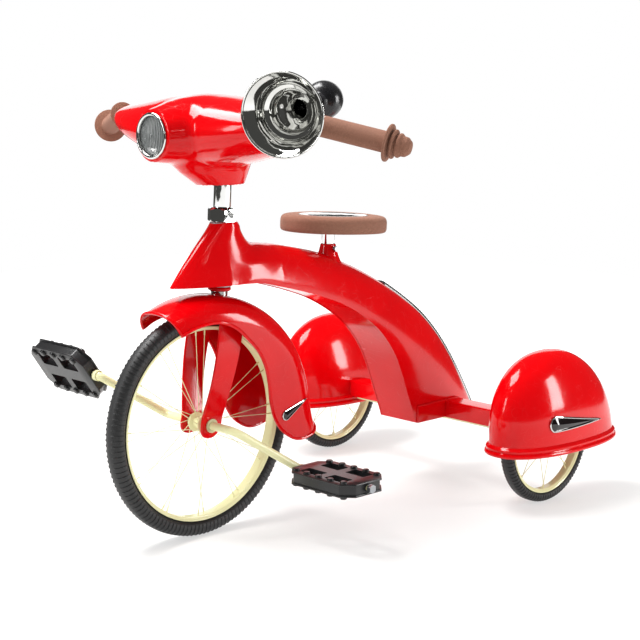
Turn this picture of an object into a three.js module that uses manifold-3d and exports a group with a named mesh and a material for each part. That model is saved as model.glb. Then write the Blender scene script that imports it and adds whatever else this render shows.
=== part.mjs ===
// Children's tricycle: pressed-steel body, pedal-driven front wheel, two rear wheels under domed covers.
// Millimetres, +X forward, +Y to the rider's left, +Z up, ground at Z = 0.
import * as THREE from 'three';
import Module from 'manifold-3d';
import { mergeVertices } from 'three/addons/utils/BufferGeometryUtils.js';

const wasm = await Module();
wasm.setup();

// driving sizes
const FRONT_R = 178;
const REAR_R = 110.5;
const WHEELBASE = 548;
const REAR_TRACK = 504;
const WALL = 2.2;
const GAP = 0.35;
const AXLE_R = 6.5;
const STEERER_R = 13.5;
const RAKE = THREE.MathUtils.degToRad(2.5);
const FORK_OFFSET = 30;
const BAR_HEIGHT = 445 + FRONT_R;
const BAR_R = 8;
const GRIP_SWEEP = THREE.MathUtils.degToRad(26.4);
const GRIP_DROOP = THREE.MathUtils.degToRad(12);
const GRIP_LENGTH = 107.7;
const GRIP_INNER = new THREE.Vector3(-27.5, 224.7, 645.5);
const SEAT_X = -276;
const SEAT_TOP = 484.6;
const SEAT_TILT = THREE.MathUtils.degToRad(2.8);
const SEAT_LENGTH = 187;
const SEAT_WIDTH = 150;
const SEAT_THICK = 27.5;
const BODY_HALF = 42;
const NECK_TOP = 489;
const FENDER_R = FRONT_R + 24;
const FENDER_HALF = 58;
const FENDER_NOSE_HALF = 46;
const FENDER_START = 62;
const REAR_FENDER_SHIFT = -19;
const REAR_FENDER_TOP_SHIFT = 6;
const REAR_FENDER_LONG = 143;
const REAR_FENDER_HALF = 62;
const REAR_FENDER_RIM = 98;
const BEAD = 7.6;
const REAR_FENDER_TOP = 261;
const CRANK_R = 135;
const CRANK_ANGLE = THREE.MathUtils.degToRad(33);
const PEDAL_Y = 186;
const PEDAL_LONG = 134;
const PEDAL_DEEP = 88;
const PEDAL_HIGH = 21;
const RIGHT_PEDAL_TILT = THREE.MathUtils.degToRad(-55);
const SPINDLE_R = 4.5;

// positions that follow from them
const FRONT_AXLE = new THREE.Vector3(0, 0, FRONT_R);
const REAR_AXLE = new THREE.Vector3(-WHEELBASE, 0, REAR_R);
const REAR_REACH = WHEELBASE - REAR_FENDER_SHIFT + REAR_FENDER_LONG + BEAD;
const CENTRE = (REAR_REACH - FRONT_R) / 2;

const RED = { color: 0xd6060f, roughness: 0.22, metalness: 0.0 };
const CREAM = { color: 0xe6e2a8, roughness: 0.4, metalness: 0.0 };
const CHROME = { color: 0xdadcdf, roughness: 0.1, metalness: 1.0 };
const BROWN = { color: 0x9b6b54, roughness: 0.85, metalness: 0.0 };
const RUBBER = { color: 0x191919, roughness: 0.8, metalness: 0.0 };
const PLASTIC = { color: 0x131313, roughness: 0.4, metalness: 0.0 };
const GLASS = { color: 0xc9ced1, roughness: 0.1, metalness: 0.0 };
const GARNET = { color: 0x2a0507, roughness: 0.1, metalness: 0.2 };
const NYLON = { color: 0xdcd8cc, roughness: 0.6, metalness: 0.0 };
const STEEL = { color: 0x9a9da1, roughness: 0.35, metalness: 1.0 };

const group = new THREE.Group();

// one welded, outward-facing surface without empty triangles
function closed(source) {
  const bare = source.clone();
  for (const name of Object.keys(bare.attributes)) {
    if (name !== 'position') bare.deleteAttribute(name);
  }
  const geometry = mergeVertices(bare, 1e-3);
  const index = geometry.index.array;
  const kept = [];
  for (let i = 0; i < index.length; i += 3) {
    const [a, b, c] = [index[i], index[i + 1], index[i + 2]];
    if (a !== b && b !== c && c !== a) kept.push(a, b, c);
  }
  if (volume(geometry.attributes.position, kept) < 0) {
    for (let i = 0; i < kept.length; i += 3) {
      [kept[i + 1], kept[i + 2]] = [kept[i + 2], kept[i + 1]];
    }
  }
  geometry.setIndex(kept);
  return geometry;
}

function volume(position, index) {
  const [a, b, c] = [new THREE.Vector3(), new THREE.Vector3(), new THREE.Vector3()];
  let total = 0;
  for (let i = 0; i < index.length; i += 3) {
    a.fromBufferAttribute(position, index[i]);
    b.fromBufferAttribute(position, index[i + 1]);
    c.fromBufferAttribute(position, index[i + 2]);
    total += a.dot(b.cross(c));
  }
  return total;
}

function solid(geometry) {
  const body = closed(geometry);
  const numProp = 3;
  const vertProperties = new Float32Array(body.attributes.position.array);
  const triVerts = new Uint32Array(body.index.array);
  return new wasm.Manifold(new wasm.Mesh({ numProp, vertProperties, triVerts }));
}

function surface(manifold) {
  const mesh = manifold.getMesh();
  const geometry = new THREE.BufferGeometry();
  geometry.setAttribute('position', new THREE.BufferAttribute(new Float32Array(mesh.vertProperties), 3));
  geometry.setIndex(Array.from(mesh.triVerts));
  return geometry;
}

function join(...parts) {
  return surface(parts.map(solid).reduce((a, b) => a.add(b)));
}

function cut(first, ...rest) {
  return surface(rest.map(solid).reduce((a, b) => a.subtract(b), solid(first)));
}

function common(first, second) {
  return surface(solid(first).intersect(solid(second)));
}

// lathe about the wheel axis (Y): profile pairs are [radius, y]
function turned(profile, segments = 48) {
  const points = profile.map(([r, y]) => new THREE.Vector2(r, y));
  if (profile[0][0] > 0) points.push(points[0].clone());
  return new THREE.LatheGeometry(points, segments);
}

// the same lathe stood up along Z, or laid along X
function upright(profile, segments) {
  return turned(profile, segments).rotateX(Math.PI / 2);
}

function forward(profile, segments) {
  return turned(profile, segments).rotateZ(-Math.PI / 2);
}

function pipe(outer, inner, from, to) {
  return [[inner, from], [outer, from], [outer, to], [inner, to]];
}

function rod(radius, from, to) {
  return [[0, from], [radius, from], [radius, to], [0, to]];
}

function box(x0, x1, y0, y1, z0, z1) {
  const geometry = new THREE.BoxGeometry(x1 - x0, y1 - y0, z1 - z0);
  return geometry.translate((x0 + x1) / 2, (y0 + y1) / 2, (z0 + z1) / 2);
}

// a straight round bar between two points
function bar(from, to, radius, sides = 8) {
  const span = to.clone().sub(from);
  const geometry = new THREE.CylinderGeometry(radius, radius, span.length(), sides);
  geometry.applyQuaternion(new THREE.Quaternion().setFromUnitVectors(new THREE.Vector3(0, 1, 0),
    span.clone().normalize()));
  const middle = from.clone().lerp(to, 0.5);
  return geometry.translate(middle.x, middle.y, middle.z);
}

// a skin over matching closed rings of points, capped at both ends
function loft(rings) {
  const count = rings[0].length;
  const points = rings.flat();
  const index = [];
  for (let k = 0; k < rings.length - 1; k += 1) {
    for (let i = 0; i < count; i += 1) {
      const j = (i + 1) % count;
      const [a, b, c, d] = [k * count + i, k * count + j, (k + 1) * count + i, (k + 1) * count + j];
      index.push(a, b, d, a, d, c);
    }
  }
  const flat = (ring) => {
    const middle = ring.reduce((sum, p) => sum.add(p), new THREE.Vector3());
    return middle.divideScalar(ring.length);
  };
  const first = points.push(flat(rings[0])) - 1;
  const last = points.push(flat(rings[rings.length - 1])) - 1;
  const start = (rings.length - 1) * count;
  for (let i = 0; i < count; i += 1) {
    const j = (i + 1) % count;
    index.push(first, j, i, last, start + i, start + j);
  }
  const geometry = new THREE.BufferGeometry().setFromPoints(points);
  geometry.setIndex(index);
  return geometry;
}

// the same skin over open U-shaped rings whose ends are closed by strips instead of fans
function troughLoft(rings) {
  const count = rings[0].length;
  const points = rings.flat();
  const index = [];
  for (let k = 0; k < rings.length - 1; k += 1) {
    for (let i = 0; i < count; i += 1) {
      const j = (i + 1) % count;
      const [a, b, c, d] = [k * count + i, k * count + j, (k + 1) * count + i, (k + 1) * count + j];
      index.push(a, b, d, a, d, c);
    }
  }
  const start = (rings.length - 1) * count;
  for (let i = 0; i < count / 2 - 1; i += 1) {
    const [a, b, c, d] = [i, i + 1, count - 1 - i, count - 2 - i];
    index.push(a, d, b, a, c, d);
    index.push(start + a, start + b, start + d, start + a, start + d, start + c);
  }
  const geometry = new THREE.BufferGeometry().setFromPoints(points);
  geometry.setIndex(index);
  return geometry;
}

// a plate of given outline in the XZ plane, from y0 to y1
function plate(outline, y0, y1) {
  const shape = new THREE.Shape(outline.map(([x, z]) => new THREE.Vector2(x, z)));
  const geometry = new THREE.ExtrudeGeometry(shape, { depth: y1 - y0, bevelEnabled: false });
  return geometry.rotateX(Math.PI / 2).translate(0, y1, 0);
}

function superRound(t, power) {
  const [c, s] = [Math.cos(t), Math.sin(t)];
  return [Math.sign(c) * Math.abs(c) ** (2 / power), Math.sign(s) * Math.abs(s) ** (2 / power)];
}

function place(name, geometry, finish) {
  const mesh = new THREE.Mesh(closed(geometry), new THREE.MeshStandardMaterial(finish));
  mesh.name = name;
  group.add(mesh);
}

// steering axis: leans back as it rises, passes behind the front axle
function raked(geometry) {
  return geometry.rotateY(-RAKE).translate(-FORK_OFFSET, 0, FRONT_R);
}

function alongAxis(height) {
  return (height - FRONT_R) / Math.cos(RAKE);
}

// ---- wheels ----
function tyreProfile(radius, depth, half) {
  const seat = radius - depth - 5.2;
  const side = [[seat, half * 0.58], [radius - depth + 1, half * 0.62], [radius - depth * 0.58, half],
    [radius - depth * 0.16, half * 0.7], [radius, 0]];
  const other = side.slice(0, -1).reverse().map(([r, y]) => [r, -y]);
  return side.concat(other);
}

function rimProfile(radius, depth, half) {
  const top = radius - depth;
  const neck = half * 0.62 + GAP;
  const floor = top - 5.2 - GAP;
  const side = [[floor, half * 0.58 + GAP], [top, neck + 0.4], [top, neck + 2.4],
    [top - 9.5, half * 0.5]];
  const other = side.slice().reverse().map(([r, y]) => [r, -y]);
  return side.concat(other);
}

function spokes(pairs, flange, flangeY, reach, wire) {
  const wires = [];
  for (let k = 0; k < pairs; k += 1) {
    for (const side of [-1, 1]) {
      const at = (2 * Math.PI * k) / pairs + side * 0.05;
      const from = at - side * 0.55;
      const inner = new THREE.Vector3(flange * Math.cos(from), side * flangeY, flange * Math.sin(from));
      const outer = new THREE.Vector3(reach * Math.cos(at), side * 2, reach * Math.sin(at));
      wires.push(bar(inner, outer, wire, 4));
    }
  }
  return wires;
}

function hub(flange, flangeY, barrel, half, bore) {
  return [[bore, half], [barrel, half], [flange, flangeY + 1.4], [flange, flangeY - 1.4],
    [barrel, flangeY - 4],
    [barrel, 4 - flangeY], [flange, 1.4 - flangeY], [flange, -flangeY - 1.4], [barrel, -half],
    [bore, -half]];
}

function wheel(prefix, suffix, at, radius, depth, half, pairs, hubSizes, segments) {
  const [flange, flangeY, barrel, hubHalf] = hubSizes;
  const rimInner = radius - depth - 9.5;
  const tyre = turned(tyreProfile(radius, depth, half), segments);
  const rim = turned(rimProfile(radius, depth, half), segments);
  const wires = spokes(pairs, flange - 3, flangeY, rimInner * Math.cos(Math.PI / segments) - 0.5, 1.1);
  const core = join(turned(hub(flange, flangeY, barrel, hubHalf, AXLE_R + 0.5), 14), ...wires);
  place(`${prefix}_tyre${suffix}`, tyre.translate(at.x, at.y, at.z), RUBBER);
  place(`${prefix}_rim${suffix}`, rim.translate(at.x, at.y, at.z), CREAM);
  place(`${prefix}_hub${suffix}`, core.translate(at.x, at.y, at.z), CREAM);
}

// ---- crank and pedals ----
function crankPath() {
  const [ux, uz] = [-Math.cos(CRANK_ANGLE), -Math.sin(CRANK_ANGLE)];
  const half = [[0, 0], [0, 40], [0, 72], [6, 81], [16, 84.5], [70, 94.5], [CRANK_R - 14, 103.5],
    [CRANK_R - 3, 106.5], [CRANK_R, 110], [CRANK_R, 113]];
  const side = (sign) => half.map(([r, y]) => new THREE.Vector3(sign * r * ux, sign * y, sign * r * uz));
  return side(-1).reverse().concat(side(1).slice(1));
}

function crank() {
  const curve = new THREE.CatmullRomCurve3(crankPath(), false, 'centripetal');
  const circle = new THREE.Shape();
  circle.absarc(0, 0, AXLE_R, 0, 2 * Math.PI, false);
  const tube = new THREE.ExtrudeGeometry(circle, { steps: 22, curveSegments: 4, extrudePath: curve });
  const [ux, uz] = [-Math.cos(CRANK_ANGLE) * CRANK_R, -Math.sin(CRANK_ANGLE) * CRANK_R];
  const spindle = (side) => bar(new THREE.Vector3(side * ux, side * 110, side * uz),
    new THREE.Vector3(side * ux, side * (PEDAL_Y + PEDAL_LONG / 2 + 8), side * uz), SPINDLE_R, 12);
  const stop = (side) => bar(new THREE.Vector3(side * ux, side * 108, side * uz),
    new THREE.Vector3(side * ux, side * (PEDAL_Y - PEDAL_LONG / 2 - 3.2), side * uz), 8.5, 12);
  const whole = join(tube, spindle(1), spindle(-1), stop(1), stop(-1));
  place('crank_axle', whole.translate(0, 0, FRONT_R), CREAM);
}

function pedalOutline(deep, long, corner) {
  const [x, y] = [deep / 2, long / 2];
  return [[x, y - corner], [x - corner, y], [corner - x, y], [-x, y - corner], [-x, corner - y],
    [corner - x, -y], [x - corner, -y], [x, corner - y]];
}

function slab(outline, half) {
  const shape = new THREE.Shape(outline.map(([x, y]) => new THREE.Vector2(x, y)));
  return new THREE.ExtrudeGeometry(shape, { depth: 2 * half, bevelEnabled: false }).translate(0, 0, -half);
}

function pedal(name, side, tilt) {
  const block = slab(pedalOutline(PEDAL_DEEP, PEDAL_LONG, 18), PEDAL_HIGH / 2 - 2);
  const lips = [1, -1].map((face) => slab(pedalOutline(PEDAL_DEEP + 5, PEDAL_LONG + 5, 19), 1.6)
    .translate(0, 0, face * (PEDAL_HIGH / 2 - 1.8)));
  const windows = [];
  for (const sx of [-1, 1]) {
    for (const sy of [-1, 1]) {
      const [x0, y0] = [sx * PEDAL_DEEP * 0.26, sy * PEDAL_LONG * 0.2];
      const [dx, dy] = [PEDAL_DEEP * 0.135, PEDAL_LONG * 0.145];
      windows.push(box(x0 - dx, x0 + dx, y0 - dy, y0 + dy, -20, 20));
    }
  }
  const studs = [];
  for (const face of [-1, 1]) {
    for (const sx of [-1, 1]) {
      for (const sy of [-1, 0, 1]) {
        const foot = new THREE.Vector3(sx * (PEDAL_DEEP / 2 - 4.5), sy * PEDAL_LONG * 0.2,
          face * (PEDAL_HIGH / 2 - 1));
        studs.push(bar(foot, foot.clone().setZ(face * (PEDAL_HIGH / 2 + 2.2)), 2.8, 5));
      }
    }
  }
  const bore = turned(rod(SPINDLE_R + GAP, -80, 80), 16);
  const body = cut(join(block, ...lips, ...studs), ...windows, bore);
  const [px, pz] = [-Math.cos(CRANK_ANGLE) * CRANK_R * side, -Math.sin(CRANK_ANGLE) * CRANK_R * side];
  place(`pedal_${name}`, body.rotateY(tilt).translate(px, side * PEDAL_Y, pz + FRONT_R), PLASTIC);
  const outer = PEDAL_Y + PEDAL_LONG / 2 + 3.2;
  const nut = cut(turned(rod(7, outer, outer + 7), 6), turned(rod(SPINDLE_R + GAP, outer - 5,
    outer + 5.5), 16));
  place(`pedal_nut_${name}`, nut.rotateZ(side < 0 ? Math.PI : 0).translate(px, 0, pz + FRONT_R), STEEL);
}

// ---- fork ----
function forkCentre(height) {
  return -(height - FRONT_R) * 0.204;
}

function forkBlade(name, side) {
  const line = [[13, 358.6, 40], [24, 358.6, 42], [32, 354.5, 44], [35.6, 345, 46], [36, 330, 48],
    [37.4, 305, 47],
    [37.2, 275, 44.5], [33.6, 240, 42], [27, 205, 40.5], [24, 190, 40], [24, 178, 39.6], [24, 168, 34.5],
    [24, 161.5, 22], [24, 158.5, 7]];
  const rings = line.map(([y, z, width], i) => {
    const [before, after] = [line[Math.max(i - 1, 0)], line[Math.min(i + 1, line.length - 1)]];
    const [dy, dz] = [after[0] - before[0], after[1] - before[1]];
    const size = Math.hypot(dy, dz);
    const [ny, nz] = [(-dz / size) * 2, (dy / size) * 2];
    const x = forkCentre(z);
    return [[width / 2, 1], [width / 2, -1], [-width / 2, -1], [-width / 2, 1]].map(([dx, s]) => (
      new THREE.Vector3(x + dx, side * (y + s * ny), z + s * nz)));
  });
  const bore = turned(rod(8.7 + GAP, -60, 60), 16).translate(0, 0, FRONT_R);
  place(`fork_blade_${name}`, cut(loft(rings), bore), RED);
  const bush = turned([[AXLE_R + GAP, 20], [8.7, 20], [8.7, 26.4], [11, 26.4], [11, 28.4],
    [AXLE_R + GAP, 28.4]], 16);
  place(`fork_bush_${name}`, bush.rotateZ(side < 0 ? Math.PI : 0).translate(0, 0, FRONT_R), NYLON);
}

function forkCrown() {
  const x = forkCentre(360);
  const half = FENDER_HALF - 33;
  const plateBlock = box(x - 20, x + 20, -half, half, 361, 365);
  const bottom = alongAxis(361);
  const socket = raked(upright(pipe(17, STEERER_R + GAP, bottom + 1, bottom + 4), 20));
  const bore = raked(upright(rod(STEERER_R + GAP, bottom - 20, bottom + 30), 20));
  place('fork_crown', join(cut(plateBlock, bore), socket), RED);
}

function steerer() {
  place('steerer_tube', raked(upright(pipe(STEERER_R, STEERER_R - 2.5, alongAxis(362),
    alongAxis(612)), 20)), CHROME);
}

// ---- front fender ----
function fenderCrown(angle) {
  const flare = Math.max(0, (angle - 172) / 22);
  return FENDER_R + 26 * flare * flare;
}

function fenderHalf(angle) {
  const t = Math.min(1, (angle - FENDER_START) / 60);
  return FENDER_NOSE_HALF + (FENDER_HALF - FENDER_NOSE_HALF) * t * (2 - t);
}

function fenderRing(angle) {
  const a = THREE.MathUtils.degToRad(angle);
  const crown = fenderCrown(angle);
  const outer = [[92, 1], [crown - 36, 1.01], [crown - 17, 0.94], [crown - 6, 0.66], [crown, 0.2]];
  const halfRing = (offset) => outer.map(([r, w], i) => [i === 0 ? r : r - offset * (i > 1 ? 1 : 0),
    w * fenderHalf(angle) - offset * (i > 3 ? 0.5 : 1)]);
  const both = (pts) => pts.concat(pts.slice().reverse().map(([r, y]) => [r, -y]));
  const ring = both(halfRing(0)).concat(both(halfRing(WALL)).reverse());
  return ring.map(([r, y]) => new THREE.Vector3(r * Math.cos(a), y, FRONT_R + r * Math.sin(a)));
}

function fenderOutline() {
  const lower = [[108, 164], [74, 151.5], [51, 161], [22, 166], [-2, 164], [-26, 153], [-46, 136],
    [-68, 114], [-83, 88],
    [-91, 59], [-95, 29], [-104, 1], [-121, -22], [-146, -38], [-168, -41], [-192, -35], [-210, -22],
    [-219, -5]];
  return lower.concat([[-250, 12], [-250, 250], [108, 250]]).map(([x, z]) => [x, FRONT_R + z]);
}

function frontFender() {
  const rings = [];
  for (let angle = FENDER_START; angle <= 206; angle += 9) rings.push(fenderRing(angle));
  const skin = troughLoft(rings);
  const bore = raked(upright(rod(STEERER_R + 1, 150, 230), 20));
  place('front_fender', cut(common(skin, plate(fenderOutline(), -80, 80)), bore), RED);
}

// a drop outline: round nose at the start, point at the end
function drop(length, radius, steps = 10) {
  const lift = Math.asin(radius / (length - radius));
  const points = [[length, 0]];
  for (let i = 0; i <= steps; i += 1) {
    const t = Math.PI / 2 - lift + ((Math.PI + 2 * lift) * i) / steps;
    points.push([radius + radius * Math.cos(t), radius * Math.sin(t)]);
  }
  return points;
}

function turnedOutline(points, angle, x, z) {
  const [c, s] = [Math.cos(angle), Math.sin(angle)];
  return points.map(([u, v]) => [x + u * c - v * s, z + u * s + v * c]);
}

function dropPlates(length, radius, angle, x, z, y0, y1) {
  const inset = 2.2;
  const inner = drop(length - inset * 4.2, radius - inset).map(([u, v]) => [u + inset, v]);
  const stone = drop(length - inset * 4.2 - 8 * GAP, radius - inset - 2 * GAP).map(([u,
    v]) => [u + inset + 2 * GAP, v]);
  return {
    rim: plate(turnedOutline(drop(length, radius), angle, x, z), y0, y1),
    hole: plate(turnedOutline(inner, angle, x, z), y0 - 5, y1 + 5),
    stone: plate(turnedOutline(stone, angle, x, z), y0, y1),
  };
}

function frontDrops(name, side) {
  const y0 = FENDER_HALF * 1.01 + GAP;
  const angle = THREE.MathUtils.degToRad(155);
  const flat = dropPlates(60, 8.5, angle, -121, FRONT_R - 1, y0, y0 + 2.6);
  const stone = dropPlates(60, 8.5, angle, -121, FRONT_R - 1, y0, y0 + 1.6).stone;
  const turn = (g) => (side < 0 ? g.scale(1, -1, 1) : g);
  place(`front_drop_bezel_${name}`, turn(cut(flat.rim, flat.hole)), CHROME);
  place(`front_drop_stone_${name}`, turn(stone), GARNET);
}

// ---- steering head ----
function headParts() {
  const [low, high] = [alongAxis(389), alongAxis(NECK_TOP - 1)];
  const inner = STEERER_R + 2.2;
  place('head_tube', raked(upright(pipe(inner + 2.2, inner, low, high), 20)), STEEL);
  const bush = (from, to) => raked(upright(pipe(inner - GAP, STEERER_R + GAP, from, to), 20));
  place('head_bush_upper', bush(high - 14, high - 0.5), NYLON);
  place('head_bush_lower', bush(low + 0.5, low + 14), NYLON);
  const cup = [[STEERER_R + GAP, low - 7], [14.6, low - 7], [18, low - 5.4], [18, low - 1.8],
    [16, low - GAP],
    [STEERER_R + GAP, low - GAP]];
  place('lower_bearing_cup', raked(upright(cup, 20)), RED);
  const nutLow = high + 2;
  const hex = upright(rod(23, nutLow, nutLow + 21), 6);
  const dome = upright([[0, nutLow - 1], [21.5, nutLow - 1], [23.2, nutLow + 3], [23.2, nutLow + 17],
    [17, nutLow + 21.4],
    [0, nutLow + 21.4]], 22);
  const bore = upright(rod(STEERER_R + GAP, nutLow - 5, nutLow + 30), 20);
  place('head_lock_nut', raked(cut(common(hex, dome), bore)), CHROME);
}

// ---- body ----
const NECK_X = -48.4;
const FRONT_EDGE = 394.5;

function neckRing(z, front, back, half, sharp, offset) {
  const points = [];
  const count = 18;
  const middle = NECK_X - (NECK_TOP - z) * 0.1;
  for (let i = 0; i < count; i += 1) {
    const t = (2 * Math.PI * i) / count;
    const [c, s] = [Math.cos(t), Math.sin(t)];
    const reach = c > 0 ? front - middle - offset * (1 + sharp * 0.5) : middle - back - offset;
    const narrow = c > 0 ? Math.abs(s) ** (1 + sharp) : Math.abs(s) ** 0.9;
    points.push(new THREE.Vector3(middle + reach * c, Math.sign(s) * (half - offset) * narrow, z));
  }
  return points;
}

function neckLoft(offset) {
  const collar = STEERER_R + 7.3;
  const rows = [[NECK_TOP, NECK_X + collar, NECK_X - collar, collar, 0],
    [472, -11, -80, STEERER_R + 9.1, 0.1], [455, 6, -92, 26.4, 0.18],
    [438, 22, -110, 31, 0.28], [418, 40, -120, 36.5, 0.38], [FRONT_EDGE, 59, -120, 41, 0.45]];
  const rings = rows.map(([z, f, b, w, sharp]) => neckRing(z, f, b, w, sharp, offset));
  if (offset > 0) {
    rings.push(rings[rings.length - 1].map((p) => p.clone().setZ(FRONT_EDGE - 10)));
    rings.unshift(rings[0].map((p) => p.clone().setZ(NECK_TOP + 6)));
  }
  return loft(rings);
}

// spine point, lower edge point for each station along the arch
const ARCH = [[-62, 451, -62, 394.5], [-112, 453, -92, 392.5], [-150, 446.5, -134, 383],
  [-200, 437, -177, 372],
  [-247, 426, -217, 360.5], [-303, 406, -262, 345], [-350, 386, -300, 327], [-400, 361, -335, 306],
  [-450, 332, -362, 285], [-497, 300, -385, 260], [-541, 260, -402, 236], [-580, 214, -417, 206],
  [-612, 168, -431, 172], [-636, 130, -446, 137], [-646, 112, -456, 112]];

function archRing([sx, sz, ex, ez], offset, open) {
  const depth = Math.hypot(sx - ex, sz - ez);
  const [ux, uz] = [(sx - ex) / depth, (sz - ez) / depth];
  const points = [];
  const steps = 10;
  for (let i = 0; i <= steps; i += 1) {
    const [c, s] = superRound((Math.PI * (i - steps / 2)) / steps, 2.3);
    const rise = c * (depth + offset);
    points.push(new THREE.Vector3(ex + ux * rise, s * (BODY_HALF + offset), ez + uz * rise));
  }
  if (open) {
    const drop = 12;
    const last = points[points.length - 1];
    points.push(new THREE.Vector3(last.x - ux * drop, last.y, last.z - uz * drop));
    points.push(new THREE.Vector3(points[0].x - ux * drop, points[0].y, points[0].z - uz * drop));
  }
  return points;
}

function archLoft(offset, open = false, from = 0, to = ARCH.length) {
  const rows = ARCH.slice(from, to).map((row) => row.slice());
  if (open) {
    const [sx, sz, ex, ez] = rows[rows.length - 1];
    rows.push([sx - 4, sz - 14, ex - 4, ez - 14]);
  }
  return loft(rows.map((row) => archRing(row, offset, open)));
}

function bodyShell() {
  const foot = box(-570, -457, -BODY_HALF - 3, BODY_HALF + 3, 112, 143);
  const outside = join(neckLoft(0), archLoft(0), foot);
  const inside = join(neckLoft(WALL), archLoft(-WALL, true));
  const seatBore = upright(rod(13.6, 370, 470), 16).translate(SEAT_X, 0, 0);
  const beamSlot = box(-WHEELBASE - 18.5, -WHEELBASE + 18.5, -80, 80, 80, 142);
  const headBore = raked(upright(rod(STEERER_R + 4.9, alongAxis(380), alongAxis(520)), 20));
  place('body_shell', cut(outside, inside, headBore, seatBore, beamSlot), RED);
}

function bellyPlate() {
  const half = BODY_HALF - WALL - 0.9;
  const rings = ARCH.slice(2, ARCH.length - 1).map(([sx, sz, ex, ez]) => {
    const depth = Math.hypot(sx - ex, sz - ez);
    const [ux, uz] = [(sx - ex) / depth, (sz - ez) / depth];
    const corner = (rise, y) => new THREE.Vector3(ex + ux * rise, y, ez + uz * rise);
    return [corner(3, half), corner(4.6, half), corner(4.6, -half), corner(3, -half)];
  });
  place('belly_plate', loft(rings), RED);
}

function spineStrips() {
  const band = (low, high, half, from) => {
    const skin = cut(archLoft(high, false, from), archLoft(low, true, from - 1));
    return common(skin, box(-700, -340, -half, half, 116, 500));
  };
  place('spine_trim', band(GAP, 2, 17, 7), CHROME);
  place('spine_tread', band(2 + GAP, 4.6, 13.5, 7), RUBBER);
}

// ---- seat ----
function seatSocket() {
  const screwBore = turned(rod(3 + GAP, 0, 24), 12).translate(SEAT_X, 0, 430);
  const clearance = archLoft(GAP);
  const cone = upright([[10.4 + GAP, 405], [20, 405], [18, 421], [14, 432], [11.8, 437],
    [10.4 + GAP, 437]], 18);
  const sleeve = upright(pipe(12.8, 10.4 + GAP, 374, 436), 18);
  const standing = cut(cone.translate(SEAT_X, 0, 0), clearance);
  const whole = join(standing, sleeve.translate(SEAT_X, 0, 0));
  place('seat_socket', cut(whole, screwBore), RED);
  const screw = turned([[0, 10.9], [3, 10.9], [3, 17.4], [5, 17.4], [5, 21], [0, 21]], 12);
  place('seat_set_screw', screw.translate(SEAT_X, 0, 430), STEEL);
}

function tilted(geometry) {
  return geometry.rotateY(-SEAT_TILT).translate(SEAT_X - 9, 0, SEAT_TOP);
}

function oval(length, width, z, steps = 22) {
  const points = [];
  for (let i = 0; i < steps; i += 1) {
    const [c, s] = superRound((2 * Math.PI * i) / steps, 2.25);
    const taper = 1 - 0.12 * c;
    points.push(new THREE.Vector3((c * length) / 2, (s * taper * width) / 2, z));
  }
  return points;
}

function seat() {
  const edge = [[-14, -SEAT_THICK], [-3, -SEAT_THICK + 1.2], [0, -SEAT_THICK + 5], [0, -8],
    [-2.6, -3], [-8, -0.4],
    [-12, 0]];
  const rings = edge.map(([grow, z]) => oval(SEAT_LENGTH + 2 * grow, SEAT_WIDTH + 2 * grow, z));
  const recess = loft([oval(128, 92, -2.4), oval(128, 92, 5)]);
  const pocket = loft([oval(90, 60, -SEAT_THICK - 5), oval(90, 60, -SEAT_THICK + 4)]);
  place('seat_pan', tilted(cut(loft(rings), recess, pocket)), BROWN);
  const inlay = loft([oval(127.2, 91.2, -2), oval(127.2, 91.2, -0.6), oval(124, 88, 0)]);
  place('seat_inlay', tilted(inlay), CHROME);
  const foot = tilted(loft([oval(89, 59, -SEAT_THICK + 0.2), oval(89, 59, -SEAT_THICK + 3.4)]));
  const post = upright(rod(10.4, 366, SEAT_TOP - SEAT_THICK + 1.6), 18).translate(SEAT_X, 0, 0);
  place('seat_post', join(foot, post), CHROME);
}

// ---- rear axle and fenders ----
function rearBeam() {
  const [x, half] = [-WHEELBASE, REAR_TRACK / 2 - 48];
  const outer = box(x - 18, x + 18, -half, half, REAR_R - 3.5, REAR_R + 31);
  const inner = box(x - 15.5, x + 15.5, -half - 5, half + 5, REAR_R - 10, REAR_R + 28.5);
  place('rear_axle_beam', cut(outer, inner), RED);
  const end = REAR_TRACK / 2 + 26;
  const collar = (side) => turned(rod(9.5, REAR_TRACK / 2 - 25, REAR_TRACK / 2 - 19.6), 16)
    .rotateZ(side < 0 ? Math.PI : 0);
  const rodSolid = join(turned(rod(AXLE_R, -end, end), 20), collar(1), collar(-1));
  place('rear_axle', rodSolid.translate(REAR_AXLE.x, 0, REAR_AXLE.z), CREAM);
  for (const [name, side] of [['left', 1], ['right', -1]]) {
    const from = REAR_TRACK / 2 + 19.6;
    const nut = cut(turned([[0, from], [10, from], [10, from + 5], [7, from + 9.5], [0, from + 10.5]], 6),
      turned(rod(AXLE_R + GAP, from - 4, end + 0.5), 20));
    nut.rotateZ(side < 0 ? Math.PI : 0).translate(REAR_AXLE.x, 0, REAR_AXLE.z);
    place(`rear_axle_nut_${name}`, nut, CHROME);
  }
}

function domeRing(z, grow, rise, offset) {
  const points = [];
  for (let i = 0; i < 22; i += 1) {
    const [c, s] = superRound((2 * Math.PI * i) / 22, 2.3);
    const x = REAR_FENDER_SHIFT + (REAR_FENDER_TOP_SHIFT - REAR_FENDER_SHIFT) * rise
      + c * (REAR_FENDER_LONG * grow + offset);
    points.push(new THREE.Vector3(-WHEELBASE + x, s * (REAR_FENDER_HALF * grow + offset), z));
  }
  return points;
}

function dome(offset, rim) {
  const rings = rim.map(([z, out]) => domeRing(REAR_FENDER_RIM + z, 1, 0, offset + out));
  const high = REAR_FENDER_TOP - REAR_FENDER_RIM - 16 + offset;
  for (const angle of [0, 20, 40, 60, 80]) {
    const [c, s] = superRound(THREE.MathUtils.degToRad(angle), 2.1);
    rings.push(domeRing(REAR_FENDER_RIM + 16 + s * high, c, s, offset));
  }
  return loft(rings);
}

const BEADS = [[0, 7], [4.5, BEAD], [8.5, 4.6]];

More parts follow.
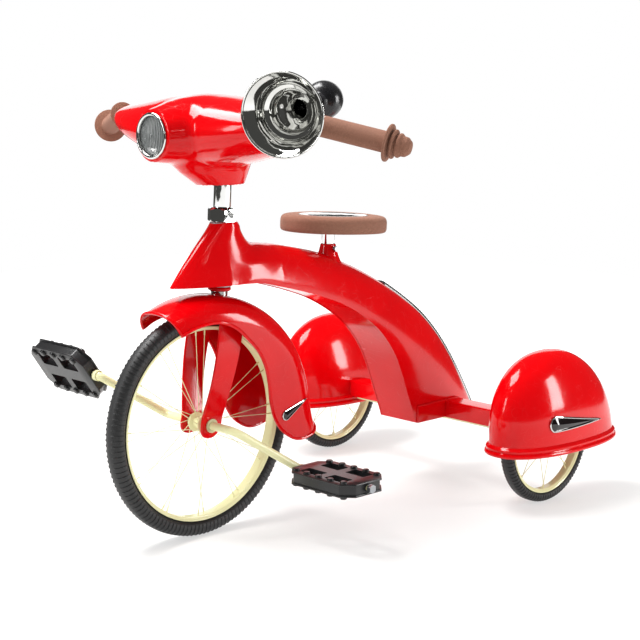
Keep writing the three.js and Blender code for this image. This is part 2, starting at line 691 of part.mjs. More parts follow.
function rearFender(name, side) {
  const slot = box(-WHEELBASE - 18.6, -WHEELBASE + 18.6, -REAR_FENDER_HALF - 40, -20, 60, REAR_R + 31.6);
  const skin = cut(dome(0, BEADS), dome(-WALL, [[-12, 5], [6, 4]]), slot);
  const moved = (g) => (side < 0 ? g.scale(1, -1, 1) : g).translate(0, (side * REAR_TRACK) / 2, 0);
  place(`rear_fender_${name}`, moved(skin), RED);
  const plates = dropPlates(140, 14, THREE.MathUtils.degToRad(184), -WHEELBASE + 60, 150, 20, 100);
  const layer = (low, high) => cut(dome(high, [[0, 0]]), dome(low, [[-5, 0]]));
  place(`rear_drop_bezel_${name}`, moved(common(cut(plates.rim, plates.hole), layer(GAP, 3.4))), CHROME);
  place(`rear_drop_stone_${name}`, moved(common(plates.stone, layer(GAP, 2.6))), GARNET);
}

// ---- handlebar, fairing, headlight ----
function wingRing(y, front, back, top, bottom, offset) {
  const points = [];
  for (let i = 0; i < 16; i += 1) {
    const [c, s] = superRound((2 * Math.PI * i) / 16, 2.2);
    const x = (front + back) / 2 + (c * (front - back)) / 2 - c * offset;
    points.push(new THREE.Vector3(x, y, (top + bottom) / 2 + (s * (top - bottom)) / 2 - s * offset));
  }
  return points;
}

function wings(offset) {
  const half = [[0, 62, -110, 686, 574], [56, 57, -110, 682, 579], [118, 46, -105, 673, 594],
    [165, 31, -94, 666, 610],
    [187 - offset, 17, -78, 662, 624], [196 - offset, 3, -62, 656, 635]];
  const rows = half.slice(1).reverse().map(([y, ...rest]) => [-y, ...rest]).concat(half);
  return loft(rows.map(([y, f, b, t, l]) => wingRing(y, f, b, t, l, offset)));
}

const BAR_X = -FORK_OFFSET - (BAR_HEIGHT - FRONT_R) * Math.tan(RAKE);
const LIGHT_Z = BAR_HEIGHT + 1;
const LAMP_R = 32.5;

function nose(offset) {
  const rows = [[-60, 62, 54, 629], [-10, 66, 54, 630], [36, 58, 50, 629], [70, 45, 43, 626],
    [91, 38.5, 38.5, LIGHT_Z]];
  return loft(rows.map(([x, w, h, z]) => {
    const points = [];
    for (let i = 0; i < 16; i += 1) {
      const t = (2 * Math.PI * i) / 16;
      points.push(new THREE.Vector3(x, Math.cos(t) * (w - offset), z + Math.sin(t) * (h - offset)));
    }
    return points;
  }));
}

function spout(offset) {
  const rows = [[625, 40, -104, 58], [598, 62, -102, 46], [575, 44, -95, 37], [547, 1, -83, 28.5]];
  if (offset > 0) rows.push([540, 1, -83, 28.5]);
  return loft(rows.map(([z, f, b, w]) => {
    const points = [];
    for (let i = 0; i < 14; i += 1) {
      const [c, s] = superRound((2 * Math.PI * i) / 14, 2.1);
      points.push(new THREE.Vector3((f + b) / 2 + c * ((f - b) / 2 - offset), s * (w - offset), z));
    }
    return points;
  }));
}

function fairing() {
  const outside = join(wings(0), nose(0), spout(0));
  const inside = join(wings(WALL), nose(WALL), spout(WALL));
  const lampHole = forward(rod(LAMP_R + 0.9, 60, 110), 22).translate(0, 0, LIGHT_Z);
  place('handlebar_fairing', cut(outside, inside, lampHole, barTube(BAR_R + 1, 14)), RED);
}

// the bar runs level through the clamp, rises into the wings, then sweeps back and down into the grips
function barPath() {
  const back = gripDirection(1);
  const end = GRIP_INNER.clone().addScaledVector(back, GRIP_LENGTH + 18);
  const half = [new THREE.Vector3(BAR_X, 24, BAR_HEIGHT), new THREE.Vector3(BAR_X + 16, 90,
    BAR_HEIGHT + 15),
    new THREE.Vector3(-17, 165, BAR_HEIGHT + 32), GRIP_INNER.clone().addScaledVector(back, -24), GRIP_INNER,
    GRIP_INNER.clone().addScaledVector(back, GRIP_LENGTH / 2), end];
  const other = half.map((p) => new THREE.Vector3(p.x, -p.y, p.z)).reverse();
  return other.concat([new THREE.Vector3(BAR_X, 0, BAR_HEIGHT)], half);
}

function gripDirection(side) {
  const [out, down] = [Math.cos(GRIP_DROOP), Math.sin(GRIP_DROOP)];
  return new THREE.Vector3(-Math.sin(GRIP_SWEEP) * out, side * Math.cos(GRIP_SWEEP) * out, -down);
}

function barTube(radius, sides) {
  const curve = new THREE.CatmullRomCurve3(barPath(), false, 'centripetal');
  const circle = new THREE.Shape();
  circle.absarc(0, 0, radius, 0, 2 * Math.PI, false);
  return new THREE.ExtrudeGeometry(circle, { steps: 44, curveSegments: sides / 4, extrudePath: curve });
}

function handlebar() {
  place('handlebar_tube', barTube(BAR_R, 16), CHROME);
  const block = box(BAR_X - 17, BAR_X + 17, -17, 17, BAR_HEIGHT - 28, BAR_HEIGHT + 14);
  const stemBore = raked(upright(rod(STEERER_R + GAP, alongAxis(560), alongAxis(612.5)), 20));
  place('stem_clamp', cut(block, barTube(BAR_R + GAP, 16), stemBore), STEEL);
}

function grip(name, side) {
  const end = GRIP_LENGTH;
  const profile = [[BAR_R + 0.8, -3], [20, -3], [20, 0], [15.5, 2], [15.5, end - 2], [27, end - 1.5],
    [27, end + 1.5],
    [15, end + 3.5], [21, end + 7], [21, end + 9.5], [14, end + 11.5], [17.5, end + 15], [17.5, end + 17.5],
    [14.5, end + 21], [14, end + 27], [9, end + 33], [0, end + 35], [0, end + 20], [BAR_R + 0.8, end + 20]];
  const points = profile.map(([r, y]) => new THREE.Vector2(r, y));
  points.push(points[0].clone());
  const body = new THREE.LatheGeometry(points, 16);
  body.applyQuaternion(new THREE.Quaternion().setFromUnitVectors(new THREE.Vector3(0, 1, 0),
    gripDirection(side)));
  place(`grip_${name}`, body.translate(GRIP_INNER.x, side * GRIP_INNER.y, GRIP_INNER.z), BROWN);
}

function headlight() {
  const bezel = [[-3.6, 79], [-0.1, 79], [-0.1, 91.5], [1.6, 92], [1.2, 94.4], [-1.4, 94.9],
    [-3.4, 93], [-3.4, 90.6],
    [-3.6, 90.2]].map(([r, x]) => [LAMP_R + r, x]);
  place('headlight_bezel', forward(bezel, 24).translate(0, 0, LIGHT_Z), CHROME);
  const lens = [[0, 93.5], [13, 92.8], [23, 91.4], [28, 90], [28.5, 88.6], [28.5, 86], [0, 88]];
  place('headlight_lens', forward(lens, 24).translate(0, 0, LIGHT_Z), GLASS);
  const bowl = [[28.4, 80.4], [28.4, 85.6], [26, 82.5], [17, 66], [6, 56], [0, 55.4], [0, 53.6],
    [7, 54], [19, 64],
    [27, 79.6]];
  const points = bowl.map(([r, x]) => new THREE.Vector2(r, x));
  points.push(points[0].clone());
  place('headlight_reflector', new THREE.LatheGeometry(points, 22).rotateZ(-Math.PI / 2).translate(0,
    0, LIGHT_Z), CHROME);
}

// ---- horn ----
const HORN_YAW = THREE.MathUtils.degToRad(27.5);
const HORN_PITCH = THREE.MathUtils.degToRad(5);
const HORN_MOUTH = new THREE.Vector3(65, 250, 662);

// built pointing along +X with the mouth at the origin, then set on the bar
function aimed(geometry) {
  geometry.rotateY(HORN_PITCH).rotateZ(HORN_YAW);
  return geometry.translate(HORN_MOUTH.x, HORN_MOUTH.y, HORN_MOUTH.z);
}

function horn() {
  const outer = [[8.5, -163], [8.5, -84], [16, -65], [29, -56], [31, -42], [40, -36], [42, -22],
    [58.5, -3]];
  const inner = [[57, -1.4], [40.4, -21], [38.4, -34.6], [29.4, -41], [27.4, -54.4], [15, -63.4],
    [7, -84], [7, -163]];
  const profile = outer.concat([[59.4, 0.6]], inner);
  place('horn_bell', aimed(forward(profile, 24)), CHROME);
  const bulbOut = [[9, -148], [12, -148], [12, -162], [23, -169], [28.6, -186], [24, -206],
    [12, -216], [0, -218]];
  const bulbIn = [[0, -215], [10, -213.4], [21.6, -204], [25.8, -186], [21, -172], [9, -166]];
  const points = bulbOut.concat(bulbIn).map(([r, x]) => new THREE.Vector2(r, x));
  points.push(points[0].clone());
  place('horn_bulb', aimed(new THREE.LatheGeometry(points, 18).rotateZ(-Math.PI / 2)), RUBBER);
}

function hornBracket() {
  const hold = aimed(new THREE.BufferGeometry().setFromPoints([new THREE.Vector3(-106, 0,
    0)])).attributes.position;
  const top = new THREE.Vector3().fromBufferAttribute(hold, 0);
  const back = gripDirection(1);
  const foot = GRIP_INNER.clone().addScaledVector(back, -13);
  const ring = aimed(forward(rod(12, -112, -100), 16));
  const half = back.clone().multiplyScalar(5);
  const clamp = bar(foot.clone().sub(half), foot.clone().add(half), 12, 16);
  const strut = bar(foot, top, 5, 10);
  const hornBore = aimed(forward(rod(8.5 + GAP, -130, -90), 16));
  place('horn_bracket', cut(join(ring, clamp, strut), hornBore, barTube(BAR_R + GAP, 16)), CHROME);
}

bodyShell();
bellyPlate();
spineStrips();
headParts();
seatSocket();
seat();
rearBeam();
steerer();
forkCrown();
frontFender();
fairing();
handlebar();
headlight();
horn();
hornBracket();
crank();
wheel('front', '', FRONT_AXLE, FRONT_R, 25, 15, 12, [15.5, 10.5, 9, 19], 38);
for (const [name, side] of [['left', 1], ['right', -1]]) {
  forkBlade(name, side);
  frontDrops(name, side);
  rearFender(name, side);
  grip(name, side);
  pedal(name, side, side < 0 ? RIGHT_PEDAL_TILT : 0);
  const at = new THREE.Vector3(REAR_AXLE.x, (side * REAR_TRACK) / 2, REAR_AXLE.z);
  wheel('rear', `_${name}`, at, REAR_R, 16, 11.5, 8, [12.5, 10, 8.6, 18.5], 28);
}

// origin at the middle of the footprint
for (const mesh of group.children) {
  mesh.geometry.translate(CENTRE, 0, 0);
  mesh.geometry.computeVertexNormals();
}

export default group;
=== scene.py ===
import math

import bmesh
import bpy
from mathutils import Matrix, Vector
from mathutils.bvhtree import BVHTree


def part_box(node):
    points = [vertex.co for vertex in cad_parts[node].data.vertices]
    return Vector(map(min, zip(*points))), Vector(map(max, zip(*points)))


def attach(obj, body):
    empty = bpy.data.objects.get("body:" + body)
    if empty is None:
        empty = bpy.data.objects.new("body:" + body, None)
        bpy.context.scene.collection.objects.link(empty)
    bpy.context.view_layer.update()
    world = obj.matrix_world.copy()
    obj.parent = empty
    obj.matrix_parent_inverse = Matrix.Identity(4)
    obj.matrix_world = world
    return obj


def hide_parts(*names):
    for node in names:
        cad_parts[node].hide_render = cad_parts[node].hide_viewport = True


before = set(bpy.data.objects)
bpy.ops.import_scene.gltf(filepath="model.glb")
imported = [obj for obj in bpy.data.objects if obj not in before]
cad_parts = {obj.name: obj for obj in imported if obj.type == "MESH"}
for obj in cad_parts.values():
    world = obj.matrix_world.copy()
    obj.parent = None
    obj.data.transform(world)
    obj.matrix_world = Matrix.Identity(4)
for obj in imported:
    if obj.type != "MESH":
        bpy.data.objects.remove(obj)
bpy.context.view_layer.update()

# ---- the studio: camera, floor and lights ----
# A small product set. The tricycle stands on a white paper floor that runs out past the view.
# The camera looks down a little from ahead of the rider's left foot.
EYE = Vector((1.7912, 1.7976, 0.7401))
AHEAD, DOWN, ROLL = -2.3514, -0.168, 0.0098
UP = Vector((0, 0, 1))

view = Vector((math.cos(DOWN) * math.cos(AHEAD), math.cos(DOWN) * math.sin(AHEAD), math.sin(DOWN)))
right = view.cross(UP).normalized()
up = right.cross(view)
right, up = right * math.cos(ROLL) + up * math.sin(ROLL), up * math.cos(ROLL) - right * math.sin(ROLL)
camera = bpy.data.objects.new("camera", bpy.data.cameras.new("camera"))
camera.data.lens = 87.19
camera.data.sensor_width = 36
camera.matrix_world = Matrix.Translation(EYE) @ Matrix((right, up, -view)).transposed().to_4x4()
bpy.context.scene.collection.objects.link(camera)
bpy.context.scene.camera = camera
bpy.context.scene.view_settings.view_transform = "Standard"


def linear(code):
    """An sRGB hex colour as linear red, green, blue and full cover."""
    parts = [int(code[i:i + 2], 16) / 255 for i in (1, 3, 5)]
    return [p / 12.92 if p <= 0.04045 else ((p + 0.055) / 1.055) ** 2.4 for p in parts] + [1.0]


def add(tree, kind, inputs=None, **settings):
    """A node with its settings; each input is a value, or a socket to link from."""
    node = tree.nodes.new(kind)
    for name, value in settings.items():
        setattr(node, name, value)
    for name, value in (inputs or {}).items():
        socket = node.inputs[name]
        if isinstance(value, bpy.types.NodeSocket):
            tree.links.new(value, socket)
        else:
            socket.default_value = value
    return node


def blank_material(name):
    """A new material, its empty node tree, and the socket that gives a point's place in the piece."""
    material = bpy.data.materials.new(name)
    material.use_nodes = True
    tree = material.node_tree
    tree.nodes.clear()
    return material, tree, add(tree, "ShaderNodeTexCoord").outputs["Object"]


def show(tree, shader):
    add(tree, "ShaderNodeOutputMaterial", {"Surface": shader.outputs[0]})


# Seamless paper: matt, pale, and bright enough that only soft contact shadows show on it.
def paper_floor():
    material, tree, place = blank_material("seamless_paper")
    tooth = add(tree, "ShaderNodeTexNoise", {"Vector": place, "Scale": 400.0, "Detail": 3.0}).outputs["Fac"]
    bump = add(tree, "ShaderNodeBump", {"Height": tooth, "Strength": 0.02, "Distance": 0.0005})
    away = add(tree, "ShaderNodeVectorMath", {0: place}, operation="LENGTH").outputs["Value"]
    glow = add(tree, "ShaderNodeMapRange", {"Value": away, "From Min": 0.9, "From Max": 1.7,
                                            "To Min": 0.52, "To Max": 1.0}).outputs[0]
    show(tree, add(tree, "ShaderNodeBsdfPrincipled", {
        "Base Color": linear("#B0B0AE"), "Roughness": 0.9, "Normal": bump.outputs[0],
        "Emission Color": linear("#FFFFFF"), "Emission Strength": glow}))
    sheet = bpy.data.meshes.new("paper_floor")
    reach = 2.7
    corners = [(-reach, -reach, 0), (reach, -reach, 0), (reach, reach, 0), (-reach, reach, 0)]
    sheet.from_pydata(corners, [], [(0, 1, 2, 3)])
    sheet.materials.append(material)
    floor = bpy.data.objects.new("paper_floor", sheet)
    bpy.context.scene.collection.objects.link(floor)


def softbox(name, at, aim, wide, tall, power):
    light = bpy.data.lights.new(name, "AREA")
    light.shape = "RECTANGLE"
    light.size, light.size_y, light.energy = wide, tall, power
    lamp = bpy.data.objects.new(name, light)
    turn = (Vector(aim) - Vector(at)).to_track_quat("-Z", "Y").to_matrix().to_4x4()
    lamp.matrix_world = Matrix.Translation(at) @ turn
    bpy.context.scene.collection.objects.link(lamp)


# The room is pale to the eye and to soft light, and dimmer in polished metal, as a studio is between its lamps.
def room():
    world = bpy.data.worlds.new("studio_room")
    world.use_nodes = True
    tree = world.node_tree
    tree.nodes.clear()
    ray = add(tree, "ShaderNodeLightPath")
    dim = add(tree, "ShaderNodeBackground", {"Color": linear("#6C6C6A"), "Strength": 0.5})
    soft = add(tree, "ShaderNodeBackground", {"Color": linear("#FFFFFF"), "Strength": 0.62})
    pale = add(tree, "ShaderNodeBackground", {"Color": linear("#FFFFFF"), "Strength": 1.0})
    inner = add(tree, "ShaderNodeMixShader", {0: ray.outputs["Is Glossy Ray"], 1: soft.outputs[0],
                                              2: dim.outputs[0]})
    outer = add(tree, "ShaderNodeMixShader", {0: ray.outputs["Is Camera Ray"], 1: inner.outputs[0],
                                              2: pale.outputs[0]})
    add(tree, "ShaderNodeOutputWorld", {"Surface": outer.outputs[0]})
    bpy.context.scene.world = world


paper_floor()
room()
softbox("overhead_softbox", (0.55, -0.5, 1.95), (-0.1, 0.1, 0.3), 1.15, 0.95, 62)
softbox("side_softbox", (-1.9, 2.5, 0.85), (-0.1, 0.0, 0.35), 0.6, 1.4, 50)
softbox("front_softbox", (2.9, -0.9, 1.3), (0.2, 0.0, 0.4), 0.4, 1.3, 22)
softbox("back_softbox", (-2.3, -2.3, 1.35), (0.0, 0.0, 0.6), 3.0, 1.4, 22)

# ---- body shell ----
# The big hooded body: two deep-drawn sheet-steel halves welded along the spine into a neck and a long arch.
# Stoved enamel, sprayed thick and glossy. The lower edge is open under the neck.
WALL, MERGE = 0.0022, 1e-6
low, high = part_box("front_tyre")
HUB_X = (low.x + high.x) / 2
NECK_X, NECK_TOP, FRONT_EDGE = -48.4, 489.0, 394.5
BODY_HALF, ARCH_POWER, ARCH_LAP = 42.0, 2.3, 16.0
NECK_ROWS = [(489, -27.6, -69.2, 20.8, 0.0), (472, -11, -80, 22.6, 0.1), (455, 6, -92, 26.4, 0.18),
             (438, 22, -110, 31, 0.28), (418, 40, -120, 36.5, 0.38), (394.5, 59, -120, 41, 0.45)]
ARCH_ROWS = [(-62, 451, -62, 394.5), (-112, 453, -92, 392.5), (-150, 446.5, -134, 383), (-200, 437, -177, 372),
             (-247, 426, -217, 360.5), (-303, 406, -262, 345), (-350, 386, -300, 327), (-400, 361, -335, 306),
             (-450, 332, -362, 285), (-497, 300, -385, 260), (-541, 260, -402, 236), (-580, 214, -417, 206),
             (-612, 168, -431, 172), (-636, 130, -446, 137), (-646, 112, -456, 112)]


def spot(x, y, z):
    """A point in metres, from millimetres ahead of the front hub, to the rider's left, and above the ground."""
    return Vector((HUB_X + x / 1000, y / 1000, z / 1000))


def smooth_rows(rows, count):
    """Rows of sizes read off an even curve through the given ones."""
    made = []
    for k in range(count):
        at = k * (len(rows) - 1) / (count - 1)
        i = min(int(at), len(rows) - 2)
        t = at - i
        a, b, c, d = rows[max(i - 1, 0)], rows[i], rows[i + 1], rows[min(i + 2, len(rows) - 1)]
        made.append([q + 0.5 * t * (r - p + t * (2 * p - 5 * q + 4 * r - s + t * (3 * (q - r) + s - p)))
                     for p, q, r, s in zip(a, b, c, d)])
    return made


def squarish(angle, power):
    c, s = math.cos(angle), math.sin(angle)
    return math.copysign(abs(c) ** (2 / power), c), math.copysign(abs(s) ** (2 / power), s)


def ring_faces(rings, capped=True, looped=True):
    """Points and faces of a skin over equal rings of points."""
    count = len(rings[0])
    points = [p for ring in rings for p in ring]
    faces = []
    for k in range(len(rings) - 1):
        for i in range(count if looped else count - 1):
            j = (i + 1) % count
            faces.append((k * count + i, k * count + j, (k + 1) * count + j, (k + 1) * count + i))
    if capped:
        faces.append(tuple(range(count)))
        faces.append(tuple(range((len(rings) - 1) * count, len(rings) * count)))
    return points, faces


def mesh_object(name, points, faces):
    """A mesh with doubled points merged and its faces turned outwards."""
    mesh = bpy.data.meshes.new(name)
    mesh.from_pydata([tuple(p) for p in points], [], faces)
    work = bmesh.new()
    work.from_mesh(mesh)
    bmesh.ops.remove_doubles(work, verts=work.verts, dist=MERGE)
    bmesh.ops.dissolve_degenerate(work, edges=work.edges, dist=MERGE / 2)
    bmesh.ops.recalc_face_normals(work, faces=work.faces)
    work.to_mesh(mesh)
    work.free()
    made = bpy.data.objects.new(name, mesh)
    bpy.context.scene.collection.objects.link(made)
    return made


def skin_over(name, rings, **form):
    return mesh_object(name, *ring_faces(rings, **form))


def modify(made, kind, **settings):
    change = made.modifiers.new(kind.lower(), kind)
    for name, value in settings.items():
        setattr(change, name, value)


def settle(made):
    """Turns an object and its modifiers into a plain mesh."""
    graph = bpy.context.evaluated_depsgraph_get()
    plain = bpy.data.meshes.new_from_object(made.evaluated_get(graph))
    made.modifiers.clear()
    made.data = plain
    return made


def combine(made, other, way):
    """Adds, cuts or keeps the common part of two closed meshes, and uses up the second."""
    modify(made, "BOOLEAN", operation=way, object=other, solver="EXACT")
    settle(made)
    bpy.data.objects.remove(other)
    return made


def coat(made, material, degrees=32):
    """One finish all over, with edges sharper than the angle left crisp."""
    made.data.materials.clear()
    made.data.materials.append(material)
    made.data.shade_smooth()
    made.data.set_sharp_from_angle(angle=math.radians(degrees))


def finish_piece(made, material, body, node, degrees=32):
    """Gives a piece its finish and its place in the moving model."""
    for face in made.data.polygons:
        face.material_index = 0
    coat(made, material, degrees)
    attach(made, body)
    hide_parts(node)


# Stoved enamel: a clear, wet gloss over deep red, with faint orange peel and the hair scratches of wiping.
# Real scratches are hundredths of a millimetre wide. They are drawn at half a millimetre so that they show.
def enamel(name, colour, shadow, scratch=1.0):
    material, tree, place = blank_material(name)
    cloud = add(tree, "ShaderNodeTexNoise", {"Vector": place, "Scale": 9.0, "Detail": 4.0}).outputs["Fac"]
    tone = add(tree, "ShaderNodeValToRGB", {"Fac": cloud})
    for mark, at, tint in zip(tone.color_ramp.elements, (0.25, 0.8), (shadow, colour)):
        mark.position, mark.color = at, linear(tint)
    lines = None
    for turn, scale in ((0.4, 26.0), (1.9, 41.0), (2.7, 63.0)):
        turned = add(tree, "ShaderNodeMapping", {
            "Vector": place, "Rotation": (turn, turn * 1.7, turn * 0.6), "Scale": (1.0, 0.35, 1.0)}).outputs[0]
        swirl = add(tree, "ShaderNodeTexNoise", {"Vector": turned, "Scale": 18.0,
                                                 "Detail": 1.0}).outputs["Color"]
        bent = add(tree, "ShaderNodeMix", {0: 0.06, 4: turned, 5: swirl}, data_type="VECTOR").outputs[1]
        edge = add(tree, "ShaderNodeTexVoronoi", {"Vector": bent, "Scale": scale},
                   feature="DISTANCE_TO_EDGE").outputs["Distance"]
        thin = add(tree, "ShaderNodeMapRange", {"Value": edge, "From Min": 0.0, "From Max": 0.0007 * scale / 3,
                                                "To Min": 1.0, "To Max": 0.0}).outputs[0]
        patch = add(tree, "ShaderNodeTexNoise", {"Vector": turned, "Scale": 34.0, "Detail": 2.0}).outputs["Fac"]
        broken = add(tree, "ShaderNodeMapRange", {"Value": patch, "From Min": 0.47, "From Max": 0.6}).outputs[0]
        drawn = add(tree, "ShaderNodeMath", {0: thin, 1: broken}, operation="MULTIPLY").outputs[0]
        lines = drawn if lines is None else add(tree, "ShaderNodeMath", {0: lines, 1: drawn},
                                                operation="MAXIMUM").outputs[0]
    grain = add(tree, "ShaderNodeTexNoise", {"Vector": place, "Scale": 260.0, "Detail": 3.0}).outputs["Fac"]
    rough = add(tree, "ShaderNodeMath", {0: lines, 1: 0.30 * scratch, 2: 0.07},
                operation="MULTIPLY_ADD").outputs[0]
    rough = add(tree, "ShaderNodeMath", {0: grain, 1: 0.10, 2: rough}, operation="MULTIPLY_ADD").outputs[0]
    peel = add(tree, "ShaderNodeTexNoise", {"Vector": place, "Scale": 300.0, "Detail": 2.0}).outputs["Fac"]
    height = add(tree, "ShaderNodeMath", {0: lines, 1: -0.35 * scratch, 2: peel},
                 operation="MULTIPLY_ADD").outputs[0]
    bump = add(tree, "ShaderNodeBump", {"Height": height, "Strength": 0.10, "Distance": 0.0004})
    show(tree, add(tree, "ShaderNodeBsdfPrincipled", {
        "Base Color": tone.outputs[0], "Roughness": rough, "IOR": 1.52, "Specular IOR Level": 0.2,
        "Coat Weight": 0.2, "Coat Roughness": 0.05, "Coat IOR": 1.5, "Normal": bump.outputs[0]}))
    return material


RED_ENAMEL = enamel("stoved_red_enamel", "#D80208", "#C40107")


def neck_rings():
    rings = []
    rows = smooth_rows(NECK_ROWS, 34)
    rows.append([FRONT_EDGE - 16] + rows[-1][1:])
    for z, front, back, half, sharp in rows:
        middle = NECK_X - (NECK_TOP - min(z, NECK_TOP)) * 0.1
        ring = []
        for i in range(72):
            c, s = math.cos(math.tau * i / 72), math.sin(math.tau * i / 72)
            reach = front - middle if c > 0 else middle - back
            narrow = abs(s) ** (1 + sharp) if c > 0 else abs(s) ** 0.9
            ring.append(spot(middle + reach * c, math.copysign(half * narrow, s), z))
        rings.append(ring)
    return rings


ARCH_FINE = smooth_rows(ARCH_ROWS, 120)


def upward(row):
    """The lower edge of a row of the arch, the way from there to the spine, and how far the spine is."""
    sx, sz, ex, ez = row
    depth = math.hypot(sx - ex, sz - ez)
    return ex, ez, (sx - ex) / depth, (sz - ez) / depth, depth


def arch_rings():
    """The arch from spine to lower edge, carried on below it so that the edge can be cut clean."""
    rings = []
    for ex, ez, ux, uz, depth in map(upward, ARCH_FINE):
        ring = []
        for i in range(45):
            c, s = squarish(math.pi * (i / 44 - 0.5), ARCH_POWER)
            ring.append(spot(ex + ux * c * depth, s * BODY_HALF, ez + uz * c * depth))
        ring += [spot(ex - ux * ARCH_LAP, side * BODY_HALF, ez - uz * ARCH_LAP) for side in (1, -1)]
        rings.append(ring)
    return rings


def twin(made):
    other = made.copy()
    other.data = made.data.copy()
    bpy.context.scene.collection.objects.link(other)
    return other


def even_skin(made, cell):
    """The same closed form, remade as an even fine mesh that lies on the drawn surface."""
    drawn = twin(made)
    modify(made, "REMESH", mode="VOXEL", voxel_size=cell, adaptivity=0)
    modify(made, "SHRINKWRAP", target=drawn, wrap_method="NEAREST_SURFACEPOINT")
    settle(made)
    bpy.data.objects.remove(drawn)
    return made


def even_out(made, wanted, factor, turns):
    """Moves the points that the test picks towards their neighbours, again and again."""
    work = bmesh.new()
    work.from_mesh(made.data)
    chosen = [v for v in work.verts if wanted(v)]
    for _ in range(turns):
        bmesh.ops.smooth_vert(work, verts=chosen, factor=factor,
                              use_axis_x=True, use_axis_y=True, use_axis_z=True)
    work.to_mesh(made.data)
    work.free()


def blend_seams(made, forms, reach, turns):
    """Softens the skin where two pressings meet, and leaves the rest of it untouched."""
    graph = bpy.context.evaluated_depsgraph_get()
    trees = [BVHTree.FromObject(form, graph) for form in forms]
    even_out(made, lambda v: sorted(t.find_nearest(v.co)[3] for t in trees)[1] < reach, 0.5, turns)
    for form in forms:
        bpy.data.objects.remove(form)


def drop_faces(made, unwanted):
    """Opens a closed form by taking away the faces whose middle and direction the test picks."""
    work = bmesh.new()
    work.from_mesh(made.data)
    gone = [f for f in work.faces if unwanted(f.calc_center_median(), f.normal)]
    bmesh.ops.delete(work, geom=gone, context="FACES")
    work.to_mesh(made.data)
    work.free()


def prism(name, outline, axis, low, high, bevel=0.0):
    """A straight block of given outline: (x, z) along Y, or (x, y) along Z."""
    put = {"Y": lambda a, b, t: spot(a, t, b), "Z": lambda a, b, t: spot(a, b, t)}[axis]
    made = skin_over(name, [[put(a, b, t) for a, b in outline] for t in (low, high)])
    if bevel:
        modify(made, "BEVEL", width=bevel / 1000, segments=3, limit_method="ANGLE")
        settle(made)
    return made


EDGE_LINE = [(220, FRONT_EDGE)] + [(ex, ez) for sx, sz, ex, ez in ARCH_FINE] + [(-800, 112)]


def off_edge_line(p):
    """How far a point is from the body's lower edge, seen from the side, in metres."""
    best, seen = 1.0, Vector((p.x, 0, p.z))
    for a, b in zip(EDGE_LINE, EDGE_LINE[1:]):
        start, end = spot(a[0], 0, a[1]), spot(b[0], 0, b[1])
        run = end - start
        t = max(0.0, min(1.0, (seen - start).dot(run) / run.length_squared))
        best = min(best, (seen - start - run * t).length)
    return best


def body_shell():
    neck = skin_over("neck_form", neck_rings())
    arch = skin_over("arch_form", arch_rings())
    forms = [twin(neck), twin(arch)]
    shell = even_skin(combine(neck, arch, "UNION"), 0.0026)
    blend_seams(shell, forms, 0.030, 90)
    foot = prism("foot_form", [(-570, 100), (-457, 100), (-457, 143), (-570, 143)], "Y", -45, 45, bevel=2.5)
    combine(shell, foot, "UNION")
    below = prism("below_edge", EDGE_LINE + [(-800, 0), (220, 0)], "Y", -90, 90)
    combine(shell, below, "DIFFERENCE")
    drop_faces(shell, lambda p, n: abs(n.y) < 0.05 and n.z < 0.2 and off_edge_line(p) < 0.0003)
    modify(shell, "SOLIDIFY", thickness=WALL, offset=-1)
    return settle(shell)


shell = body_shell()
shell.name = "body_shell_skin"
finish_piece(shell, RED_ENAMEL, "frame", "body_shell")

# The floor of the arch is a second sheet, spot-welded just inside the lower edge.
corners = ((0.8, 39.5), (2.4, 39.5), (2.4, -39.5), (0.8, -39.5))
belly = skin_over("belly_sheet", [[spot(ex + ux * rise, y, ez + uz * rise) for rise, y in corners]
                                  for ex, ez, ux, uz, depth in map(upward, smooth_rows(ARCH_ROWS[2:], 90))])
finish_piece(belly, RED_ENAMEL, "frame", "belly_plate")

# ---- steering head ----
# A steel sleeve welded into the neck, with nylon bushes, a red pressed cup below and a chromed lock nut on top.
# The nut is forged, chamfered on both faces and bright plated.
RAKE = math.radians(2.5)
HUB_Z, STEERER_R, GAP = 178, 13.5, 0.35
BORE_R = STEERER_R + GAP
AXIS = Vector((-math.sin(RAKE), 0, math.cos(RAKE)))
AXIS_FOOT = spot(-30, 0, HUB_Z)


def along_axis(height):
    """How far up the raked steering axis a height lies, in millimetres."""
    return (height - HUB_Z) / math.cos(RAKE)


def rounded(outline, radius, steps=3, closed=True):
    """The same outline with its corners turned to a small radius; points on the axis are kept."""
    made = []
    count = len(outline)
    for i, p in enumerate(outline):
        before, after = outline[i - 1], outline[(i + 1) % count]
        if p[0] < 1e-6 or (not closed and i in (0, count - 1)):
            made.append(tuple(p))
            continue
        p = Vector(p)
        back, on = Vector(before) - p, Vector(after) - p
        cut = min(radius, back.length * 0.45, on.length * 0.45)
        a, b = p + back.normalized() * cut, p + on.normalized() * cut
        for k in range(steps + 1):
            t = k / steps
            q = a * (1 - t) ** 2 + p * 2 * t * (1 - t) + b * t * t
            made.append((q.x, q.y))
    return made


